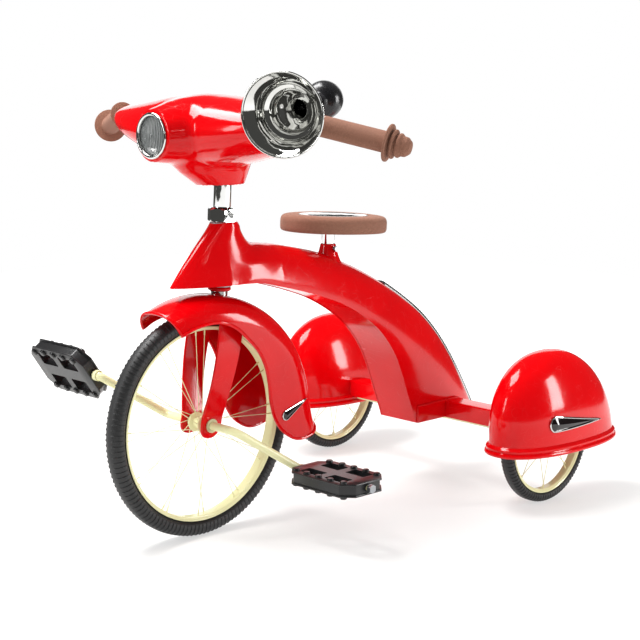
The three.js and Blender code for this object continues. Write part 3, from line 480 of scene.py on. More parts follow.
def lathe(name, profile, foot, along, steps=72, soft=0.6):
    """A turned piece: (radius, height) pairs in millimetres, closed or ending on the axis."""
    if soft:
        profile = rounded(profile, soft)
    turn = UP.rotation_difference(along).to_matrix()
    points, faces, rows = [], [], []
    for r, h in profile:
        if r < 1e-6:
            rows.append([len(points)] * steps)
            points.append(foot + turn @ Vector((0, 0, h / 1000)))
            continue
        rows.append(list(range(len(points), len(points) + steps)))
        for i in range(steps):
            a = math.tau * i / steps
            points.append(foot + turn @ Vector((r * math.cos(a), r * math.sin(a), h)) / 1000)
    closed = profile[0][0] > 1e-6 or profile[-1][0] > 1e-6
    for k in range(len(rows) if closed else len(rows) - 1):
        here, there = rows[k], rows[(k + 1) % len(rows)]
        for i in range(steps):
            j = (i + 1) % steps
            face = []
            for v in (here[i], here[j], there[j], there[i]):
                if v not in face:
                    face.append(v)
            if len(face) > 2:
                faces.append(face)
    return mesh_object(name, points, faces)


# Bright chromium plate over nickel: near-mirror, neutral grey, with a slow ripple left from buffing.
def chrome(name, colour, ripple=1.0):
    material, tree, place = blank_material(name)
    haze = add(tree, "ShaderNodeTexNoise", {"Vector": place, "Scale": 60.0, "Detail": 5.0}).outputs["Fac"]
    rough = add(tree, "ShaderNodeMapRange", {"Value": haze, "From Min": 0.3, "From Max": 0.8,
                                             "To Min": 0.02, "To Max": 0.07}).outputs[0]
    slow = add(tree, "ShaderNodeTexNoise", {"Vector": place, "Scale": 45.0, "Detail": 1.0}).outputs["Fac"]
    wipe = add(tree, "ShaderNodeTexNoise", {"Vector": place, "Scale": 900.0, "Detail": 2.0}).outputs["Fac"]
    height = add(tree, "ShaderNodeMath", {0: wipe, 1: 0.02, 2: slow}, operation="MULTIPLY_ADD").outputs[0]
    bump = add(tree, "ShaderNodeBump", {"Height": height, "Strength": 0.25 * ripple, "Distance": 0.0016})
    show(tree, add(tree, "ShaderNodeBsdfPrincipled", {
        "Base Color": linear(colour), "Metallic": 1.0, "Roughness": rough, "Normal": bump.outputs[0]}))
    return material


# Moulded nylon: cream, a little waxy. Zinc-plated steel: grey with a fine crystalline cloud.
def plain(name, colour, rough, metal, grain, height):
    material, tree, place = blank_material(name)
    speck = add(tree, "ShaderNodeTexNoise", {"Vector": place, "Scale": 1000.0 / grain,
                                             "Detail": 3.0}).outputs["Fac"]
    darker = [c * 0.72 for c in linear(colour)[:3]] + [1]
    tone = add(tree, "ShaderNodeMix", {0: speck, 6: linear(colour), 7: darker}, data_type="RGBA").outputs[2]
    band = add(tree, "ShaderNodeMapRange", {"Value": speck, "To Min": rough * 0.8,
                                            "To Max": rough * 1.2}).outputs[0]
    bump = add(tree, "ShaderNodeBump", {"Height": speck, "Strength": 0.3, "Distance": height / 1000})
    show(tree, add(tree, "ShaderNodeBsdfPrincipled", {"Base Color": tone, "Metallic": metal, "Roughness": band,
                                                      "Normal": bump.outputs[0]}))
    return material


BRIGHT_CHROME = chrome("bright_chrome_plate", "#D6D6D4")
NYLON = plain("moulded_nylon", "#CFC79B", 0.55, 0.0, 1.2, 0.05)
ZINC_STEEL = plain("zinc_plated_steel", "#A9ACB0", 0.34, 1.0, 2.0, 0.05)


def dress(material, *nodes):
    """Gives CAD pieces whose shape is right their finish."""
    for node in nodes:
        coat(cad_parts[node], material, 35)


nut_low = along_axis(NECK_TOP - 1) + 2
dome = lathe("nut_dome", [(0, nut_low - 1), (21.5, nut_low - 1), (23.2, nut_low + 3), (23.2, nut_low + 17),
                          (17, nut_low + 21.4), (0, nut_low + 21.4)], AXIS_FOOT, AXIS, steps=96)
nut = lathe("head_lock_nut_hex", [(0, nut_low), (23, nut_low), (23, nut_low + 21), (0, nut_low + 21)],
            AXIS_FOOT, AXIS, steps=6, soft=0)
bore = lathe("nut_bore", [(0, nut_low - 5), (BORE_R, nut_low - 5), (BORE_R, nut_low + 30), (0, nut_low + 30)],
             AXIS_FOOT, AXIS, soft=0)
combine(nut, dome, "INTERSECT")
combine(nut, bore, "DIFFERENCE")
modify(nut, "BEVEL", width=0.0011, segments=3, limit_method="ANGLE", angle_limit=math.radians(28))
settle(nut)
finish_piece(nut, BRIGHT_CHROME, "steering", "head_lock_nut")

rim_z = along_axis(389)
cup = lathe("lower_bearing_cup_pressed", [
    (BORE_R, rim_z - 7), (15.4, rim_z - 7), (18, rim_z - 5.2), (18, rim_z - 2.2), (16.5, rim_z - 0.4),
    (BORE_R, rim_z - 0.4)], AXIS_FOOT, AXIS)
finish_piece(cup, RED_ENAMEL, "frame", "lower_bearing_cup")
dress(ZINC_STEEL, "head_tube", "seat_set_screw", "stem_clamp")
dress(NYLON, "head_bush_upper", "head_bush_lower", "fork_bush_left", "fork_bush_right")

# ---- spine strip ----
# A chromed trim strip riveted over the weld seam behind the seat, with a ribbed rubber step tread laid in it.
# The rubber is moulded with cross ribs for a standing foot.


def strip_rings(rows, half, inside, outside, rib=0.0):
    """A strip that lies on the arch: its inner and outer faces, with two rows in four raised by the rib."""
    rings = []
    for k, (ex, ez, ux, uz, depth) in enumerate(map(upward, rows)):
        ring = []
        for out, across in ((outside + (rib if k % 4 < 2 else 0.0), 1), (inside, -1)):
            for i in range(17):
                y = across * half * (1 - i / 8)
                crown = depth * (1 - abs(y / BODY_HALF) ** ARCH_POWER) ** (1 / ARCH_POWER)
                rise = crown + out - (0.8 if i in (0, 16) and across > 0 else 0)
                ring.append(spot(ex + ux * rise, y, ez + uz * rise))
        rings.append(ring)
    return rings


# Matt black rubber, with the bloom and fine moulding grain that old tyres have.
def rubber(name, colour, worn, rough, grain):
    material, tree, place = blank_material(name)
    cloud = add(tree, "ShaderNodeTexNoise", {"Vector": place, "Scale": 14.0, "Detail": 5.0}).outputs["Fac"]
    fine = add(tree, "ShaderNodeTexNoise", {"Vector": place, "Scale": 1000.0 / grain,
                                            "Detail": 4.0}).outputs["Fac"]
    blend = add(tree, "ShaderNodeMath", {0: cloud, 1: fine}, operation="MULTIPLY").outputs[0]
    part = add(tree, "ShaderNodeMapRange", {"Value": blend, "From Min": 0.12, "From Max": 0.42}).outputs[0]
    tone = add(tree, "ShaderNodeMix", {0: part, 6: linear(colour), 7: linear(worn)},
               data_type="RGBA").outputs[2]
    band = add(tree, "ShaderNodeMapRange", {"Value": fine, "To Min": rough - 0.1,
                                            "To Max": rough + 0.1}).outputs[0]
    bump = add(tree, "ShaderNodeBump", {"Height": fine, "Strength": 0.35, "Distance": 0.0003})
    show(tree, add(tree, "ShaderNodeBsdfPrincipled", {"Base Color": tone, "Roughness": band,
                                                      "Normal": bump.outputs[0], "Sheen Weight": 0.05}))
    return material


TYRE_RUBBER = rubber("moulded_tyre_rubber", "#0F0F10", "#232324", 0.52, 1.6)
BACK_ROWS = smooth_rows(ARCH_ROWS, 141)[70:-4]
trim = skin_over("spine_trim_strip", strip_rings(BACK_ROWS, 17, GAP, 2))
finish_piece(trim, BRIGHT_CHROME, "frame", "spine_trim")
tread = skin_over("spine_tread_ribbed", strip_rings(smooth_rows(BACK_ROWS, 260), 13.5, 2.3, 3.7, rib=1.0))
finish_piece(tread, TYRE_RUBBER, "frame", "spine_tread", degrees=25)

# ---- seat ----
# A flat saddle moulded in brown rubber over a steel pan, with a dished chrome plate let into the top.
# It stands on a chromed post in a tapered red socket, held by one set screw.
SEAT_X, SEAT_TOP, SEAT_TILT = -276, 484.6, math.radians(2.8)
SEAT_LONG, SEAT_WIDE, SEAT_THICK = 187, 150, 27.5


def oval(length, width, z, steps=120):
    """An egg-shaped ring of the seat, wider at the back, tilted with it."""
    ring = []
    for i in range(steps):
        c, s = squarish(math.tau * i / steps, 2.25)
        x, y = c * length / 2, s * (1 - 0.12 * c) * width / 2
        ring.append(spot(SEAT_X - 9 + x * math.cos(SEAT_TILT) - z * math.sin(SEAT_TILT), y,
                         SEAT_TOP + x * math.sin(SEAT_TILT) + z * math.cos(SEAT_TILT)))
    return ring


# Moulded brown rubber, dead matt, with a suede-like grain that catches the light at grazing angles.
def brown_rubber():
    material, tree, place = blank_material("moulded_brown_rubber")
    fine = add(tree, "ShaderNodeTexNoise", {"Vector": place, "Scale": 800.0, "Detail": 5.0, "Roughness": 0.7})
    broad = add(tree, "ShaderNodeTexNoise", {"Vector": place, "Scale": 22.0, "Detail": 3.0}).outputs["Fac"]
    tone = add(tree, "ShaderNodeValToRGB", {"Fac": fine.outputs["Fac"]})
    for mark, at, tint in zip(tone.color_ramp.elements, (0.3, 0.72), ("#67402F", "#986A55")):
        mark.position, mark.color = at, linear(tint)
    worn = add(tree, "ShaderNodeMapRange", {"Value": broad, "From Min": 0.35, "From Max": 0.75, "To Max": 0.25})
    mixed = add(tree, "ShaderNodeMix", {0: worn.outputs[0], 6: tone.outputs[0], 7: linear("#7A503F")},
                data_type="RGBA").outputs[2]
    bump = add(tree, "ShaderNodeBump", {"Height": fine.outputs["Fac"], "Strength": 0.55, "Distance": 0.0006})
    show(tree, add(tree, "ShaderNodeBsdfPrincipled", {
        "Base Color": mixed, "Roughness": 0.86, "IOR": 1.48, "Normal": bump.outputs[0],
        "Sheen Weight": 0.08, "Sheen Roughness": 0.5, "Sheen Tint": linear("#E8C4B2")}))
    return material


BROWN_RUBBER = brown_rubber()
edge = [(-60, -SEAT_THICK + 2), (-16, -SEAT_THICK), (-5, -SEAT_THICK), (-1.2, -SEAT_THICK + 1.8),
        (0, -SEAT_THICK + 6), (0, -9), (-1.2, -4.6), (-4, -1.6), (-8, -0.2), (-12, 0), (-26, 0)]
# The edge is rounded at 100 mm out, because points at zero or less count as lying on a turning axis.
edge = rounded([(g + 100, z) for g, z in edge], 3, closed=False)
rings = [oval(SEAT_LONG + 2 * (g - 100), SEAT_WIDE + 2 * (g - 100), z) for g, z in edge]
rings += [oval(129, 93, 0.0), oval(128, 92, -0.5), oval(128, 92, -2.4)]
seat_pan = skin_over("seat_saddle_rubber", rings)
finish_piece(seat_pan, BROWN_RUBBER, "seat", "seat_pan")
rings = [oval(127.2, 91.2, -2.2), oval(127.2, 91.2, -0.5), oval(126.4, 90.4, 0.2), oval(124.6, 88.6, 0.35),
         oval(122.6, 86.6, 0.1), oval(120, 84, -0.7), oval(90, 62, -1.1), oval(40, 28, -1.3), oval(4, 3, -1.35)]
inlay = skin_over("seat_chrome_dish", rings)
finish_piece(inlay, BRIGHT_CHROME, "seat", "seat_inlay")

SEAT_FOOT = spot(SEAT_X, 0, 0)
post_top = SEAT_TOP - SEAT_THICK + 1.6
post = lathe("seat_post_tube", [(0, 366), (9.4, 366), (10.4, 367.4), (10.4, post_top - 3), (14, post_top - 1.4),
                                (30, post_top), (30, post_top + 1.6), (0, post_top + 1.6)], SEAT_FOOT, UP)
finish_piece(post, BRIGHT_CHROME, "seat", "seat_post")
socket = lathe("seat_socket_cone", [(10.75, 374), (12.8, 374), (13, 400), (24, 404), (20.5, 410), (17.4, 418),
                                    (14.6, 428), (12.6, 436.4), (12.2, 437.3), (10.75, 437.3)],
               SEAT_FOOT, UP, soft=1.6)
finish_piece(socket, RED_ENAMEL, "frame", "seat_socket")

# ---- rear axle ----
# A folded steel channel carries the rear end. A cream-painted axle rod runs under it with pressed collars.
# Chromed dome nuts close the rod's ends.
CREAM = enamel("stoved_cream_enamel", "#E8E5B6", "#E0DDAC", scratch=0.5)
AXLE_X, AXLE_Z, TRACK = -548, 110.5, 504
AXLE_MIDDLE = spot(AXLE_X, 0, AXLE_Z)
LEFTWARD = Vector((0, 1, 0))
SIDES = (("left", 1), ("right", -1))
channel = rounded([(-18, 1), (-18, 31), (18, 31), (18, 1), (15.5, 1), (15.5, 28.5), (-15.5, 28.5),
                   (-15.5, 1)], 2.6, 4)
rings = [[spot(AXLE_X + x, y, AXLE_Z + z) for x, z in channel] for y in (-204, 204)]
beam = skin_over("rear_axle_channel", rings)
finish_piece(beam, RED_ENAMEL, "frame", "rear_axle_beam")


def mirrored(profile):
    """The profile turned end for end, for pieces that are the same on both sides."""
    return [(r, -h) for r, h in reversed(profile)]


end, collar = TRACK / 2 + 26, TRACK / 2 - 25
half_rod = [(6.5, collar), (9.5, collar), (9.5, collar + 5.4), (6.5, collar + 5.4), (6.5, end - 1), (5.5, end),
            (0, end)]
rod = lathe("rear_axle_rod", mirrored(half_rod) + half_rod, AXLE_MIDDLE, LEFTWARD, steps=48)
finish_piece(rod, CREAM, "frame", "rear_axle")

start = TRACK / 2 + 19.6
for name, side in SIDES:
    cap = lathe("axle_nut_form", [(0, start), (11, start), (11, start + 5), (8.4, start + 8), (5, start + 10),
                                  (0, start + 10.6)], AXLE_MIDDLE, LEFTWARD * side, soft=1.2)
    hexagon = lathe("axle_nut_hex_" + name, [(0, start), (10, start), (10, start + 11), (0, start + 11)],
                    AXLE_MIDDLE, LEFTWARD * side, steps=6, soft=0)
    combine(hexagon, cap, "INTERSECT")
    drilled = lathe("nut_drill", [(0, start - 4), (6.85, start - 4), (6.85, end + 0.5), (0, end + 0.5)],
                    AXLE_MIDDLE, LEFTWARD * side, soft=0)
    combine(hexagon, drilled, "DIFFERENCE")
    modify(hexagon, "BEVEL", width=0.0005, segments=2, limit_method="ANGLE")
    settle(hexagon)
    finish_piece(hexagon, BRIGHT_CHROME, "frame", "rear_axle_nut_" + name)

# ---- rear fenders ----
# Each rear wheel turns under a deep-drawn steel dome whose mouth is flared into two rolled beads.
# A chrome-edged drop with a black faceted stone is pinned to its outer side.
RIM_Z, TOP_Z, DOME_LONG, DOME_HALF, DOME_STEPS = 98, 261, 143, 62, 128
SHEET = 0.002
RIM_PROFILE = [(1.6, 3.2), (-0.4, 4.6), (-0.8, 6.4), (0.6, 7.8), (3.0, 8.2), (5.0, 7.2), (6.0, 5.4), (7.2, 4.9),
               (9.0, 5.7), (11.2, 5.9), (13.2, 4.6), (14.6, 2.4), (16.2, 0.8)]


def dome_ring(z, grow, rise, out, side):
    """One level of the dome, which shrinks and moves ahead as it rises."""
    ring = []
    middle = -19 + 25 * rise
    for i in range(DOME_STEPS):
        c, s = squarish(math.tau * i / DOME_STEPS, 2.3)
        ring.append(spot(AXLE_X + middle + c * (DOME_LONG * grow + out),
                         side * TRACK / 2 + s * (DOME_HALF * grow + out), z))
    return ring


def dome_rows(side):
    rows = [dome_ring(RIM_Z + z, 1, 0, out, side) for z, out in RIM_PROFILE]
    for k in range(1, 41):
        c, s = squarish(math.radians(86.5 * (k / 40) ** 0.92), 2.1)
        rows.append(dome_ring(RIM_Z + 18 + s * (TOP_Z - RIM_Z - 18), c, s, 0, side))
    return rows


def drop_outline(length, radius, count=40):
    """A drop from above: a round nose at the start and a point at the far end."""
    lean = math.asin(radius / (length - radius))
    nose = []
    for i in range(count + 1):
        t = math.pi / 2 - lean + (math.pi + 2 * lean) * i / count
        nose.append((radius + radius * math.cos(t), radius * math.sin(t)))
    run = [(length + (nose[0][0] - length) * k / 16, nose[0][1] * k / 16) for k in range(16)]
    return run + nose + [(u, -v) for u, v in reversed(run[1:])]


def tube_along(name, path, radius, sides=12, looped=True):
    """A round wire bent along a path of points."""
    rings = []
    count = len(path)
    side = None
    for i, p in enumerate(path):
        after = path[(i + 1) % count] if looped or i < count - 1 else p
        before = path[i - 1] if looped or i > 0 else p
        run = (after - before).normalized()
        side = (run.orthogonal() if side is None else side - run * side.dot(run)).normalized()
        lift = run.cross(side)
        turns = [math.tau * k / sides for k in range(sides)]
        rings.append([p + (side * math.cos(a) + lift * math.sin(a)) * radius for a in turns])
    if not looped:
        return skin_over(name, rings)
    rings.append(rings[0])
    start, end = rings[0], rings[-2]
    shift = min(range(sides), key=lambda k: (start[k] - end[0]).length)
    if shift:
        rings[-1] = start[shift:] + start[:shift]
    return skin_over(name, rings, capped=False)


# Black pressed glass, cut in flat facets and polished, nearly a mirror at the edges.
def cut_glass():
    material, tree, place = blank_material("black_cut_glass")
    swirl = add(tree, "ShaderNodeTexNoise", {"Vector": place, "Scale": 70.0, "Detail": 2.0}).outputs["Fac"]
    tone = add(tree, "ShaderNodeMix", {0: swirl, 6: linear("#050506"), 7: linear("#17090A")},
               data_type="RGBA").outputs[2]
    rough = add(tree, "ShaderNodeMapRange", {"Value": swirl, "To Min": 0.02, "To Max": 0.1}).outputs[0]
    show(tree, add(tree, "ShaderNodeBsdfPrincipled", {"Base Color": tone, "Roughness": rough, "IOR": 1.5,
                                                      "Coat Weight": 0.3, "Coat Roughness": 0.02}))
    return material


CUT_GLASS = cut_glass()


def jewel(end, name, length, radius, angle, x, z, skin, wire, body):
    """A chrome-edged drop and its stone, laid on the skin of a fender."""
    graph = bpy.context.evaluated_depsgraph_get()
    tree = BVHTree.FromObject(skin, graph)
    aside = Vector((0, 1 if name == "left" else -1, 0))

    def laid(u, v, out):
        at = spot(x + u * math.cos(angle) - v * math.sin(angle), 0,
                  z + u * math.sin(angle) + v * math.cos(angle)) + aside * 0.6
        hit = tree.ray_cast(at, -aside)[0]
        return Vector((at.x, hit.y, at.z)) + aside * out / 1000

    ring = [laid(u, v, wire) for u, v in drop_outline(length - wire * 3, radius - wire)]
    bezel = tube_along("%s_drop_wire_%s" % (end, name), ring, wire / 1000, 10)
    finish_piece(bezel, BRIGHT_CHROME, body, "%s_drop_bezel_%s" % (end, name))
    outline = [(u + wire, v) for u, v in drop_outline(length - wire * 5.6, radius - wire * 1.9, 10)]
    inner = [laid(u, v, 1.0) for u, v in outline]
    under = [p - aside * 0.0006 for p in inner]
    spine = [max(radius * 0.9, min(u, length - wire * 6.5)) for u, v in outline]
    ridge = [laid(u, 0, 1.0 + radius * 0.3 * (1 - u / length)) for u in spine]
    count, points = len(inner), inner + under + ridge
    faces = [tuple(range(count, 2 * count))]
    for i in range(count):
        j = (i + 1) % count
        faces.append((i, j, count + j, count + i))
        faces.append((i, j, 2 * count + i) if spine[i] == spine[j] else (i, j, 2 * count + j, 2 * count + i))
    stone = mesh_object("%s_drop_stone_cut_%s" % (end, name), points, faces)
    finish_piece(stone, CUT_GLASS, body, "%s_drop_stone_%s" % (end, name), degrees=8)


for name, side in SIDES:
    points, faces = ring_faces(dome_rows(side), capped=False)
    last = len(points) - DOME_STEPS
    points.append(sum(points[last:], Vector()) / DOME_STEPS + Vector((0, 0, 0.0006)))
    faces += [(last + i, last + (i + 1) % DOME_STEPS, len(points) - 1) for i in range(DOME_STEPS)]
    cover = mesh_object("rear_fender_dome_" + name, points, faces)
    jewel("rear", name, 140, 14, math.radians(184), AXLE_X + 60, 150, cover, 1.5, "frame")
    modify(cover, "SOLIDIFY", thickness=SHEET, offset=-1)
    settle(cover)
    finish_piece(cover, RED_ENAMEL, "frame", "rear_fender_" + name)

# ---- fork ----
# A chromed steerer tube, threaded at its lower end, is brazed into a red crown plate.
# Two pressed steel blades hang from the crown, bow round the tyre and close on the axle.
foot, thread, top = along_axis(362), along_axis(366), along_axis(612)
turned = [(STEERER_R, foot)]
for k in range(14):
    h = thread + k * 1.35
    turned += [(STEERER_R, h), (STEERER_R - 0.8, h + 0.55)]
turned += [(STEERER_R, thread + 19.5), (STEERER_R, top - 0.6), (STEERER_R - 0.6, top), (STEERER_R - 2.5, top),
           (STEERER_R - 2.5, foot)]
steerer = lathe("steerer_tube_chromed", turned, AXIS_FOOT, AXIS, soft=0)
finish_piece(steerer, BRIGHT_CHROME, "steering", "steerer_tube")


def fork_centre(height):
    """How far ahead of the hub the blades' middle line is at a height: they lean back as they rise."""
    return -(height - HUB_Z) * 0.204


crown_x = fork_centre(360)
crown = prism("fork_crown_plate", [(crown_x - 20, -25), (crown_x + 20, -25), (crown_x + 20, 25),
                                   (crown_x - 20, 25)], "Z", 361, 365, bevel=1.2)
foot = along_axis(361)
ring = lathe("crown_collar", [(BORE_R, foot + 1), (17, foot + 1), (17, foot + 4.4), (BORE_R, foot + 4.4)],
             AXIS_FOOT, AXIS)
combine(crown, ring, "UNION")
finish_piece(crown, RED_ENAMEL, "steering", "fork_crown")

BLADE_ROWS = [(13, 358.6, 40), (24, 358.6, 42), (32, 354.5, 44), (35.6, 345, 46), (36, 330, 48),
              (37.4, 305, 47), (37.2, 275, 44.5), (33.6, 240, 42), (27, 205, 40.5), (24, 190, 40),
              (24, HUB_Z, 39.6), (24, 168, 34.5), (24, 161.5, 22), (24, 158.9, 8)]
rows = smooth_rows(BLADE_ROWS, 92)
for name, side in SIDES:
    rings = []
    for i, (y, z, width) in enumerate(rows):
        before, after = rows[max(i - 1, 0)], rows[min(i + 1, len(rows) - 1)]
        out = Vector((after[1] - before[1], -(after[0] - before[0]))).normalized()
        section = rounded([(width / 2, 2), (width / 2, -2), (-width / 2, -2), (-width / 2, 2)], 1.7, 4)
        rings.append([spot(fork_centre(z) + dx, side * (y + s * out.x), z + s * out.y) for dx, s in section])
    blade = skin_over("fork_blade_pressed_" + name, rings)
    drill = lathe("hub_drill", [(0, -60), (9, -60), (9, 60), (0, 60)], spot(0, 0, HUB_Z), LEFTWARD, soft=0)
    combine(blade, drill, "DIFFERENCE")
    finish_piece(blade, RED_ENAMEL, "steering", "fork_blade_" + name)

# ---- front fender ----
# One deep-drawn steel hood over the front wheel, wider behind, with its edge rolled over a wire.
# A small chrome drop is pinned to each side of its tail.
FENDER_ROWS = [(74, 151.5, 64), (51, 161, 72.4), (22, 166, 82.4), (-2, 164, 90.7), (-26, 153, 99.6),
               (-46, 136, 108.7), (-68, 114, 120.8), (-83, 88, 133.3), (-91, 59, 147), (-95, 29, 159),
               (-104, 1, 168.5), (-121, -22, 175), (-146, -38, 179.5), (-168, -41, 182), (-192, -35, 184.4),
               (-208, -24, 186)]


def weld(made, *others):
    """Joins finished meshes into one object without changing their shapes."""
    bpy.ops.object.select_all(action="DESELECT")
    for part in (made,) + others:
        part.select_set(True)
    bpy.context.view_layer.objects.active = made
    bpy.ops.object.join()


def crown_radius(angle):
    """How far the hood's top line is from the hub; it flares out at the tail."""
    return 202 + 26 * (max(0.0, angle - 172) / 22) ** 2


def fender_point(x, z, side):
    """A point of the fender's skin, from its place seen from the side."""
    angle = math.degrees(math.atan2(z, x)) % 360
    t = max(0.0, min(1.0, (angle - 62) / 60))
    half = 46 + 12 * t * (2 - t)
    down = max(0.0, min(1.0, (crown_radius(angle) - math.hypot(x, z)) / 40))
    y = half * (1 - (1 - down) ** 2.5) ** (1 / 2.5)
    return spot(x, side * y, HUB_Z + z)


grid = []
steps = [1 - (1 - k / 26) ** 1.7 for k in range(27)]
for ex, ez, angle in smooth_rows(FENDER_ROWS, 130):
    r = crown_radius(angle)
    kx, kz = r * math.cos(math.radians(angle)), r * math.sin(math.radians(angle))
    left, right = ([fender_point(ex + (kx - ex) * t, ez + (kz - ez) * t, side) for t in steps]
                   for side in (1, -1))
    grid.append(left + right[-2::-1])
hood = skin_over("front_fender_hood", grid, capped=False, looped=False)
even_out(hood, lambda v: not v.is_boundary, 0.4, 4)
for name, side in SIDES:
    jewel("front", name, 60, 8.5, math.radians(155), -121, 177, hood, 1.1, "steering")
modify(hood, "SOLIDIFY", thickness=SHEET, offset=-1)
settle(hood)
edge = [row[0] for row in grid] + [row[-1] for row in reversed(grid)] + list(reversed(grid[0][1:-1]))
weld(hood, tube_along("front_fender_bead", edge, 0.0026, 10))
finish_piece(hood, RED_ENAMEL, "steering", "front_fender")

# ---- handlebar fairing and headlight ----
# One pressed steel housing closes over the handlebar: two wings, a lamp nose and a spout over the stem.
# The lamp is a chromed bowl behind fluted glass, held by a rolled chrome bezel.
WING_ROWS = [(0, 62, -110, 686, 574), (56, 57, -110, 682, 579), (118, 46, -105, 673, 594),
             (165, 31, -94, 666, 610), (187, 17, -78, 662, 624), (196, 3, -62, 656, 635)]
LAMP_Z, LAMP_R, SPOUT_Z = 624, 32.5, 547
LAMP_FOOT = spot(0, 0, LAMP_Z)
FORWARD = Vector((1, 0, 0))


def wing_rings():
    far_half = [(-row[0],) + row[1:] for row in reversed(WING_ROWS[1:])]
    turns = [squarish(math.tau * i / 72, 2.2) for i in range(72)]
    return [[spot((front + back) / 2 + c * (front - back) / 2, y, (top + bottom) / 2 + s * (top - bottom) / 2)
             for c, s in turns] for y, front, back, top, bottom in smooth_rows(far_half + WING_ROWS, 121)]


def nose_rings():
    rows = smooth_rows([(-60, 62, 54, 629), (-10, 66, 54, 630), (36, 58, 50, 629), (70, 45, 43, 626),
                        (91, 38.5, 38.5, LAMP_Z)], 41)
    turns = [(math.cos(math.tau * i / 72), math.sin(math.tau * i / 72)) for i in range(72)]
    return [[spot(x, c * wide, z + s * tall) for c, s in turns] for x, wide, tall, z in rows]


def spout_rings():
    rows = smooth_rows([(625, 40, -104, 58), (598, 62, -102, 46), (575, 44, -95, 37),
                        (SPOUT_Z, 1, -83, 28.5)], 31)
    turns = [squarish(math.tau * i / 64, 2.1) for i in range(64)]
    return [[spot((front + back) / 2 + c * (front - back) / 2, s * half, z) for c, s in turns]
            for z, front, back, half in rows]


def fairing():
    wings = skin_over("wing_form", wing_rings())
    nose = skin_over("nose_form", nose_rings())
    spout = skin_over("spout_form", spout_rings())
    forms = [twin(wings), twin(nose), twin(spout)]
    skin = even_skin(combine(combine(wings, nose, "UNION"), spout, "UNION"), 0.0026)
    blend_seams(skin, forms, 0.012, 40)
    lamp_hole = lathe("lamp_hole", [(0, 60), (LAMP_R + 0.9, 60), (LAMP_R + 0.9, 110), (0, 110)],
                      LAMP_FOOT, FORWARD, soft=0)
    combine(skin, lamp_hole, "DIFFERENCE")
    lamp_x, foot_z = spot(59, 0, 0).x, spot(0, 0, SPOUT_Z).z

    def opening(p, n):
        in_lamp = p.x > lamp_x and math.hypot(p.y, p.z - LAMP_FOOT.z) < (LAMP_R + 1.1) / 1000
        return in_lamp or (n.z < -0.9 and p.z < foot_z + 0.0008)

    drop_faces(skin, opening)
    modify(skin, "SOLIDIFY", thickness=WALL, offset=-1)
    return settle(skin)


housing = fairing()
housing.name = "handlebar_fairing_skin"
finish_piece(housing, RED_ENAMEL, "steering", "handlebar_fairing")

bezel = lathe("headlight_bezel_rolled", [(LAMP_R + r, x) for r, x in (
    (-3.6, 79), (-0.1, 79), (-0.1, 91.3), (1.5, 91.8), (1.9, 93.2), (0.9, 94.7), (-1.4, 95.0), (-3.2, 93.6),
    (-3.6, 91.5))], LAMP_FOOT, FORWARD, steps=96)
finish_piece(bezel, BRIGHT_CHROME, "steering", "headlight_bezel")


# Pressed lamp glass: grey and half clear, with upright flutes 3.4 mm apart that break up the bowl behind; each
# flute carries a painted highlight and painted shade.
def fluted_glass():
    material, tree, place = blank_material("fluted_lamp_glass")
    flute = add(tree, "ShaderNodeTexWave", {"Vector": place, "Scale": 92.4, "Distortion": 0.0},
                bands_direction="Y", wave_profile="SIN").outputs["Fac"]
    haze = add(tree, "ShaderNodeTexNoise", {"Vector": place, "Scale": 90.0, "Detail": 3.0}).outputs["Fac"]
    rough = add(tree, "ShaderNodeMapRange", {"Value": haze, "To Min": 0.03, "To Max": 0.12}).outputs[0]
    # Painted highlight and shade: the colour runs from dark grey to pale across each flute, in step with its
    # ridge.
    tone = add(tree, "ShaderNodeMix", {0: flute, 6: linear("#5E6262"), 7: linear("#D5D9D8")},
               data_type="RGBA").outputs[2]
    bump = add(tree, "ShaderNodeBump", {"Height": flute, "Strength": 1.0, "Distance": 0.0014})
    show(tree, add(tree, "ShaderNodeBsdfPrincipled", {
        "Base Color": tone, "Roughness": rough, "IOR": 1.5, "Transmission Weight": 0.6,
        "Normal": bump.outputs[0]}))
    return material


LAMP_GLASS = fluted_glass()
lens = lathe("headlight_lens_fluted", [
    (0, 95), (2.2, 94.9), (3.2, 93.4), (13, 92.8), (23, 91.4), (28, 90), (28.7, 88.6), (28.7, 86), (0, 88)],
    LAMP_FOOT, FORWARD, steps=96, soft=0.3)
finish_piece(lens, LAMP_GLASS, "steering", "headlight_lens")
bowl = lathe("headlight_bowl", [
    (28.4, 80.4), (28.4, 85.4), (26, 82.5), (22, 73.5), (17, 66), (11, 59.5), (5.4, 56.2), (0, 55.6), (0, 53.8),
    (6, 54.2), (12, 57.6), (19, 64.2), (24, 71.4), (27.4, 79.4)], LAMP_FOOT, FORWARD, soft=0.2)
finish_piece(bowl, BRIGHT_CHROME, "steering", "headlight_reflector")

# ---- handlebar, grips and horn ----
# A chromed tube runs level through the clamp and sweeps back and down into brown moulded rubber grips.
# A stepped brass horn, chrome plated, rides on a bracket beside the left grip with a black squeeze bulb.
SWEEP, DROOP, GRIP = math.radians(26.4), math.radians(12), 107.7
GRIP_AT = Vector((-27.5, 224.7, 645.5))


def grip_way(side):
    """The way along a grip, from the bar to its outer end."""
    return Vector((-math.sin(SWEEP) * math.cos(DROOP), side * math.cos(SWEEP) * math.cos(DROOP),
                   -math.sin(DROOP)))


way = grip_way(1)
half_bar = [(-49.4, 24, 623), (-45, 50, 627), (-33.4, 90, 638), (-22, 130, 647.5), (-17, 165, 652.5)]
half_bar += [tuple(GRIP_AT + way * step) for step in (-24, 0, 40, 80, GRIP + 18)]
whole_bar = [(x, -y, z) for x, y, z in reversed(half_bar)] + [(-49.4, 0, 623)] + half_bar
bar_line = [spot(*p) for p in smooth_rows(whole_bar, 161)]
bar = tube_along("handlebar_tube_bent", bar_line, 0.008, 28, looped=False)
finish_piece(bar, BRIGHT_CHROME, "steering", "handlebar_tube")

